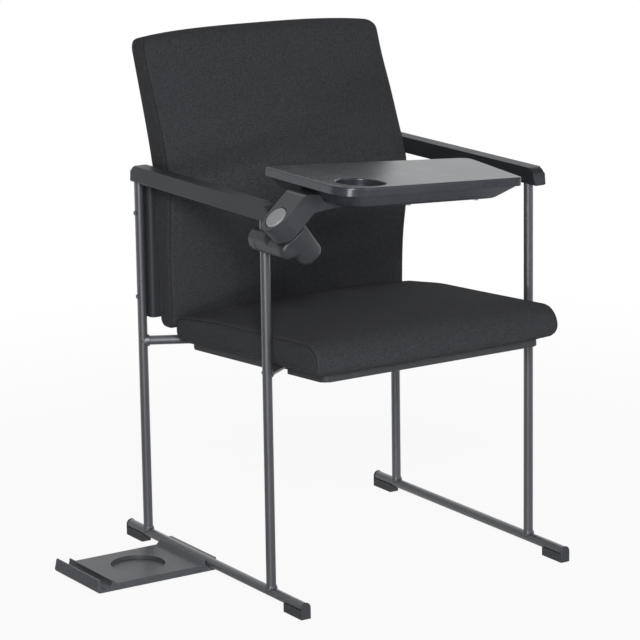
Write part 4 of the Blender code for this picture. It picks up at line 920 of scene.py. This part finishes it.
class Pad:
    """A boxed pad on a grid: columns from gusset to gusset, each one ring of the side outline.

    The strip's outline has the middle radii half way across and the side radii at the gussets.
    """

    def __init__(self, corners, middle_radii, side_radii, half_width, edge_round, pocket):
        self.half, self.edge_round, self.pocket = half_width, edge_round, pocket
        (first, _), (last, _) = corners[:2]
        start, end = first + middle_radii[0], last - middle_radii[1]
        edges = [place + step for place in pocket[1:3] for step in POCKET_WALL]
        breaks = [(place - start) / (end - start) for place in edges]
        self.middle = side_outline(corners, middle_radii, breaks)
        self.side = side_outline(corners, side_radii, breaks)
        self.under = self.middle[:, 1] < 1e-6
        steps = np.linalg.norm(np.diff(self.middle, axis=0, append=self.middle[:1]), axis=1)
        self.run = np.r_[0, np.cumsum(steps)]
        self.columns = self.across()
        self.points = self.rest()

    def across(self):
        """Place and inset of each column: gusset, seam, rounded edge, face, and back again."""
        half, edge = self.half, self.edge_round
        inner = half - edge
        flat = np.linspace(-inner, inner, 2 * round(inner / CELL) + 1)
        walls = [side * (self.pocket[0] + step) for side in (-1, 1) for step in POCKET_WALL]
        flat = np.sort(np.r_[flat, walls])
        rim = [(inner + edge * math.sin(turn), edge * (1 - math.cos(turn))) for turn in EDGE_TURNS]
        rim += [(half - SEAM_DEPTH * SEAM_START, edge), (half - SEAM_DEPTH, edge + SEAM_WIDTH / 2)]
        deepest = np.ptp(self.side[:, 1]) * GUSSET_SHARE
        rim += [(half, inset) for inset in np.linspace(edge + SEAM_WIDTH, deepest, GUSSET_ROWS)]
        self.seam = len(rim) - GUSSET_ROWS
        return [(-x, inset) for x, inset in reversed(rim)] + [(x, 0.0) for x in flat] + rim

    def rest(self):
        """Points of the grid before the filling, as (column, place, 3)."""
        wide, low, high, deep = self.pocket
        grid = np.zeros((len(self.columns), len(self.middle), 3))
        for j, (x, inset) in enumerate(self.columns):
            ring = self.middle + (self.side - self.middle) * min(abs(x) / self.half, 1) ** 4
            centre, reach = (ring.max(0) + ring.min(0)) / 2, np.ptp(ring, axis=0) / 2
            grid[j, :, 0] = x
            grid[j, :, 1:] = centre + (ring - centre) * (1 - inset / reach)
            if abs(x) < wide and inset == 0:
                sunk = self.under & (self.middle[:, 0] > low) & (self.middle[:, 0] < high)
                grid[j, sunk, 2] = deep
        return grid

    def held(self):
        """The points that don't swell: the underside, the pocket and the seams."""
        fixed = np.zeros(self.points.shape[:2], bool)
        fixed[:, self.under] = True
        for j in (self.seam - 1, self.seam, self.seam + 1):
            fixed[j] = fixed[len(self.columns) - 1 - j] = True
        return fixed

    def faces(self):
        """Corners of the grid's faces, with one large face in each gusset."""
        wide, around = self.points.shape[:2]
        index = np.arange(wide * around).reshape(wide, around)
        after = np.roll(index, -1, axis=1)
        sides = np.stack([index[:-1], index[1:], after[1:], after[:-1]], axis=-1).reshape(-1, 4)
        return sides.tolist() + [index[0].tolist(), index[-1][::-1].tolist()]

    def mesh(self, name, points):
        """The grid as a mesh with a UV map in metres: strip and gussets each laid flat."""
        mesh = bpy.data.meshes.new(name)
        mesh.from_pydata(points.reshape(-1, 3).tolist(), [], self.faces())
        around = self.points.shape[1]
        rest = self.points.reshape(-1, 3)
        laid = mesh.uv_layers.new(name="laid_flat")
        last = len(self.columns) - 1
        for face in mesh.polygons:
            places = [mesh.loops[i].vertex_index for i in face.loop_indices]
            nearest = min(min(p // around, last - p // around) for p in places)
            closes = {0, around - 1} <= {p % around for p in places}
            for i, p in zip(face.loop_indices, places):
                if nearest < self.seam:
                    laid.data[i].uv = rest[p, 1:]
                else:
                    place = around if closes and p % around == 0 else p % around
                    laid.data[i].uv = (rest[p, 0], self.run[place])
        bm = bmesh.new()
        bm.from_mesh(mesh)
        bmesh.ops.triangulate(bm, faces=[f for f in bm.faces if len(f.verts) > 4])
        bmesh.ops.recalc_face_normals(bm, faces=bm.faces)
        bm.to_mesh(mesh)
        bm.free()
        return mesh

    def swollen(self, name, cap):
        """The points after the cloth has been blown up: moved outwards only, up to the cap."""
        mesh = self.mesh(name, self.points)
        normals = np.empty(self.points.size, np.float32)
        mesh.vertex_normals.foreach_get("vector", normals)
        trial = placed(name, mesh)
        pins = trial.vertex_groups.new(name="held")
        held = self.held()
        pins.add(np.flatnonzero(held.ravel()).tolist(), 1.0, "REPLACE")
        cloth = trial.modifiers.new("swell", "CLOTH")
        set_up(cloth.settings, vertex_group_mass=pins.name, use_pressure=True)
        cloth.settings.uniform_pressure_force = PRESSURE
        cloth.settings.effector_weights.gravity = 0
        cloth.point_cache.frame_end = SIM_FRAMES
        scene = bpy.context.scene
        for step in range(1, SIM_FRAMES + 1):
            scene.frame_set(step)
        graph = bpy.context.evaluated_depsgraph_get()
        result = np.empty(self.points.size, np.float32)
        trial.evaluated_get(graph).data.vertices.foreach_get("co", result)
        bpy.data.objects.remove(trial, do_unlink=True)
        scene.frame_set(1)
        normals = normals.reshape(self.points.shape)
        lift = np.sum((result.reshape(self.points.shape) - self.points) * normals, axis=2)
        lift = cap * np.tanh(np.maximum(lift, 0) / cap)
        for _ in range(EVENING):
            lift[held] = 0
            beside = np.pad(lift, ((1, 1), (0, 0)), mode="edge")
            lift = (np.roll(lift, 1, 1) + np.roll(lift, -1, 1) + beside[2:] + beside[:-2]) / 4
        lift[held] = 0
        return self.points + normals * lift[..., None]


THREAD = grained(
    "black_thread", THREAD_TONES, (0.60, 0.80), pitch=0.0004, depth=0.00005, shine=0.1,
)


def stitched(pad, piece, name, points, beyond, lowest):
    """Top stitches this many columns beyond both seams, where the outline is above this height."""
    column = pad.seam + beyond
    places = [corner.co for corner in piece.data.vertices]
    cloth = BVHTree.FromPolygons(places, [face.vertices for face in piece.data.polygons])
    around = pad.middle[:, 1] > lowest
    around[: np.flatnonzero(pad.under).max()] = False
    lines = []
    for j in (column, len(pad.columns) - 1 - column):
        line = []
        for point in points[j, around]:
            spot, normal, _, _ = cloth.find_nearest(Vector(point))
            line.append(spot - normal * STITCH_SIZE[1] * STITCH_SINK)
        lines.append(line)
    row = grown(
        name, paths(name + "_lines", lines, False), ROW_ALONG_PATH,
        Pitch=STITCH_PITCH, Length=STITCH_SIZE[0], Thickness=STITCH_SIZE[1], Finish=THREAD,
    )
    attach(row, "chair")


def covered(pad, name, node, points):
    """The finished pad: smooth cloth over these points, in place of the node."""
    mesh = pad.mesh(name, points)
    mesh.materials.append(CLOTH)
    mesh.shade_smooth()
    raw = placed(name + "_raw", mesh)
    set_up(raw.modifiers.new("finer", "SUBSURF"), levels=1, render_levels=1)
    piece = settled(raw, name)
    return takes_place(piece, node)


# Seat cushion: foam on the plywood board, with a waterfall front, held to the board by a skirt that
# is turned under its edge and lifted where the brace tubes pass.
SEAT_HALF = 0.2355
SEAT_FRONT, SEAT_REAR = -0.3195, 0.1285
SEAT_LOW = 0.0033
SEAT_THICK = 0.0535
SEAT_FALL = (0.12, 0.009)  # run and drop of the top towards the rear
SEAT_RADII = (0.016, 0.004, 0.018, 0.5, 0.034)  # from below the front round to its top
SEAT_SIDE_RADII = (0.020, 0.012, 0.020, 0.5, 0.032)
SEAT_EDGE = 0.007
SEAT_CROWN = 0.010
SEAT_WAIST = 0.003
SEAT_CAP = 0.005
SEAT_TUCK = (0.005, 0.018)  # how far, and up to what height, the skirt is drawn in at the sides
SEAT_STITCHES = (2, 0.012)  # columns beyond the seam, and the height where they begin
GATHER = 0.0009
GATHER_RUN = (1.0, 1.3)  # how the gathers follow each other to the side and to the rear
GATHER_WAVES = ((131, 1.0, 0.0), (287, 0.7, 1.1), (61, 0.5, 2.0))  # rate, weight and start
BOARD = (0.2165, -0.3005, 0.1225, 0.0155)  # half width, front, rear and depth of the pocket
BRACE_SLOPE = BRACE_REACH / FRAME_HALF  # a brace tube's run to the rear for its run to the side
BRACE_ROOM = 0.0012


def over_tubes(points):
    """Lifts the skirt clear of the brace tubes, at height zero of the seat's own frame."""
    reach = TUBE_RADIUS + BRACE_ROOM
    x, y = points[..., 0], points[..., 1]
    for sign in (-1, 1):
        off = np.abs(y - sign * BRACE_SLOPE * x) / math.hypot(1, BRACE_SLOPE)
        crest = np.sqrt(np.maximum(reach ** 2 - np.minimum(off, reach) ** 2, 0))
        points[..., 2] = np.maximum(points[..., 2], crest)


def seat_form(pad):
    """The points of the seat: crowned, filled, drawn in below, gathered and laid on the brace."""
    across = pad.points[..., 0] / SEAT_HALF
    along = (pad.points[..., 1] - SEAT_FRONT) / (SEAT_REAR - SEAT_FRONT)
    upper = np.clip(pad.points[..., 2] / SEAT_THICK * 2 - 1, 0, 1)
    pad.points[..., 2] += SEAT_CROWN * upper * (1 - (2 * along - 1) ** 4) * (1 - across ** 2)
    pad.points[..., 0] *= 1 - SEAT_WAIST / SEAT_HALF * np.sin(np.pi * np.clip(along, 0, 1))
    form = pad.swollen("seat_cloth", SEAT_CAP)
    low = np.clip(1 - form[..., 2] / SEAT_TUCK[1], 0, 1)
    form[..., 0] -= SEAT_TUCK[0] * low ** 2 * across * np.abs(across) ** 5
    place = form[..., 0] * GATHER_RUN[0] + form[..., 1] * GATHER_RUN[1]
    wave = sum(weight * np.sin(rate * place + start) for rate, weight, start in GATHER_WAVES)
    form[..., 2] += SEAT_LOW + GATHER * wave * low * (1 - pad.under)
    over_tubes(form)
    turned = np.array(SEAT_FRAME)
    return form @ turned[:3, :3].T + turned[:3, 3]


seat_corners = [
    (SEAT_FRONT, 0), (SEAT_REAR, 0), (SEAT_REAR, SEAT_THICK - SEAT_FALL[1]),
    (SEAT_REAR - SEAT_FALL[0], SEAT_THICK), (SEAT_FRONT, SEAT_THICK),
]
seat = Pad(seat_corners, SEAT_RADII, SEAT_SIDE_RADII, SEAT_HALF, SEAT_EDGE, BOARD)
seat_points = seat_form(seat)
seat_piece = covered(seat, "seat_upholstery", "seat_cushion", seat_points)
stitched(seat, seat_piece, "seat_stitches", seat_points, *SEAT_STITCHES)


# Back pad: foam on a bent plywood panel, fuller at the lumbar height and bent back above the
# armrests, in a cover that is drawn over it and closed by the panel.
BACK_BOTTOM = 0.385
BACK_REAR = 0.182
BACK_LOWER = 0.222
BACK_BEND = 0.100
BACK_LEAN = math.radians(18.5)
BACK_UPPER = 0.233
BACK_LENGTH = BACK_LOWER + BACK_BEND * BACK_LEAN + BACK_UPPER
BACK_HALF = 0.2345
BACK_THICK = 0.0435
BACK_RADII = (0.008, 0.010, 0.022, 0.018)  # from the rear's lower edge round to the front's
BACK_SIDE_RADII = (0.014, 0.016, 0.018, 0.016)
BACK_EDGE = 0.005
BACK_CROWN = 0.009
BACK_CAP = 0.005
BACK_BOW = 0.010
BOW_SHARE = 0.8  # of the bow that rises above the straight edge, half way across
BACK_SKEW = 0.0045  # the sewn top edge stands this much higher at the sitter's right
BACK_CORNER = 0.026
BACK_FLAT = 0.25  # share of the thickness, from the rear, that keeps its plain form
BACK_STITCHES = (3, 0.7 * BACK_THICK)  # columns beyond the seam, and where they begin
LUMBAR = (0.190, 0.090)  # place up the back, and reach
LUMBAR_WIDE, LUMBAR_DEEP = 0.005, 0.003
ELBOW = (0.270, 0.122)
ELBOW_DEEP = 0.010
PANEL_EDGE = 0.0135
PANEL = (0.2195, PANEL_EDGE, BACK_LENGTH - PANEL_EDGE, 0.0066)  # as for the seat's board


def along_back(points):
    """Bends a flat form, with its second axis up the back and its third axis forwards."""
    run, out = points[..., 1], points[..., 2]
    angle = np.clip((run - BACK_LOWER) / BACK_BEND, 0, BACK_LEAN)
    sine, cosine = np.sin(angle), np.cos(angle)
    above = run - BACK_LOWER - BACK_BEND * angle
    y = BACK_REAR + BACK_BEND * (1 - cosine) + above * sine - out * cosine
    z = BACK_BOTTOM + BACK_LOWER + BACK_BEND * sine + above * cosine + out * sine
    return np.stack([points[..., 0], y, z], axis=-1)


def back_form(pad):
    """The points of the back: full at lumbar and elbow height, bowed on top, filled and bent."""
    across = pad.points[..., 0] / BACK_HALF
    run, out = pad.points[..., 1], pad.points[..., 2]
    full = np.exp(-((run - LUMBAR[0]) / LUMBAR[1]) ** 2)
    bend = np.exp(-((run - ELBOW[0]) / ELBOW[1]) ** 4)
    front = np.clip((out - BACK_FLAT * BACK_THICK) / ((1 - BACK_FLAT) * BACK_THICK), 0, 1)
    ends = 1 - np.clip(np.abs(run / BACK_LENGTH - 0.5) * 2, 0, 1) ** 4
    upper = np.clip(4 * run / BACK_LENGTH - 3, 0, 1) ** 2
    corner = np.clip((run - BACK_LENGTH) / BACK_CORNER + 1, 0, 1)
    cut = BACK_CORNER * front * (1 - np.sqrt(1 - corner ** 2))
    bow = BACK_BOW * (BOW_SHARE - np.abs(across) ** 3)
    swell = LUMBAR_DEEP * full + ELBOW_DEEP * bend + BACK_CROWN * ends * (1 - across ** 2)
    pad.points[..., 0] *= 1 + LUMBAR_WIDE * full / BACK_HALF
    pad.points[..., 0] -= cut * across * np.abs(across)
    pad.points[..., 1] += upper * (bow - BACK_SKEW * across)
    pad.points[..., 2] += front * swell
    return along_back(pad.swollen("back_cloth", BACK_CAP))


back_corners = [(0, 0), (BACK_LENGTH, 0), (BACK_LENGTH, BACK_THICK), (0, BACK_THICK)]
back = Pad(back_corners, BACK_RADII, BACK_SIDE_RADII, BACK_HALF, BACK_EDGE, PANEL)
back_points = back_form(back)
back_piece = covered(back, "back_upholstery", "back_cushion", back_points)
stitched(back, back_piece, "back_stitches", back_points, *BACK_STITCHES)


# Back panel: bent plywood let into the rear of the back pad, covered in the same cloth, which is
# laid upright, and screwed to the two brackets.
PANEL_CLOTH = upholstery("black_cloth_panel", False)
dressed("back_panel", PANEL_CLOTH)
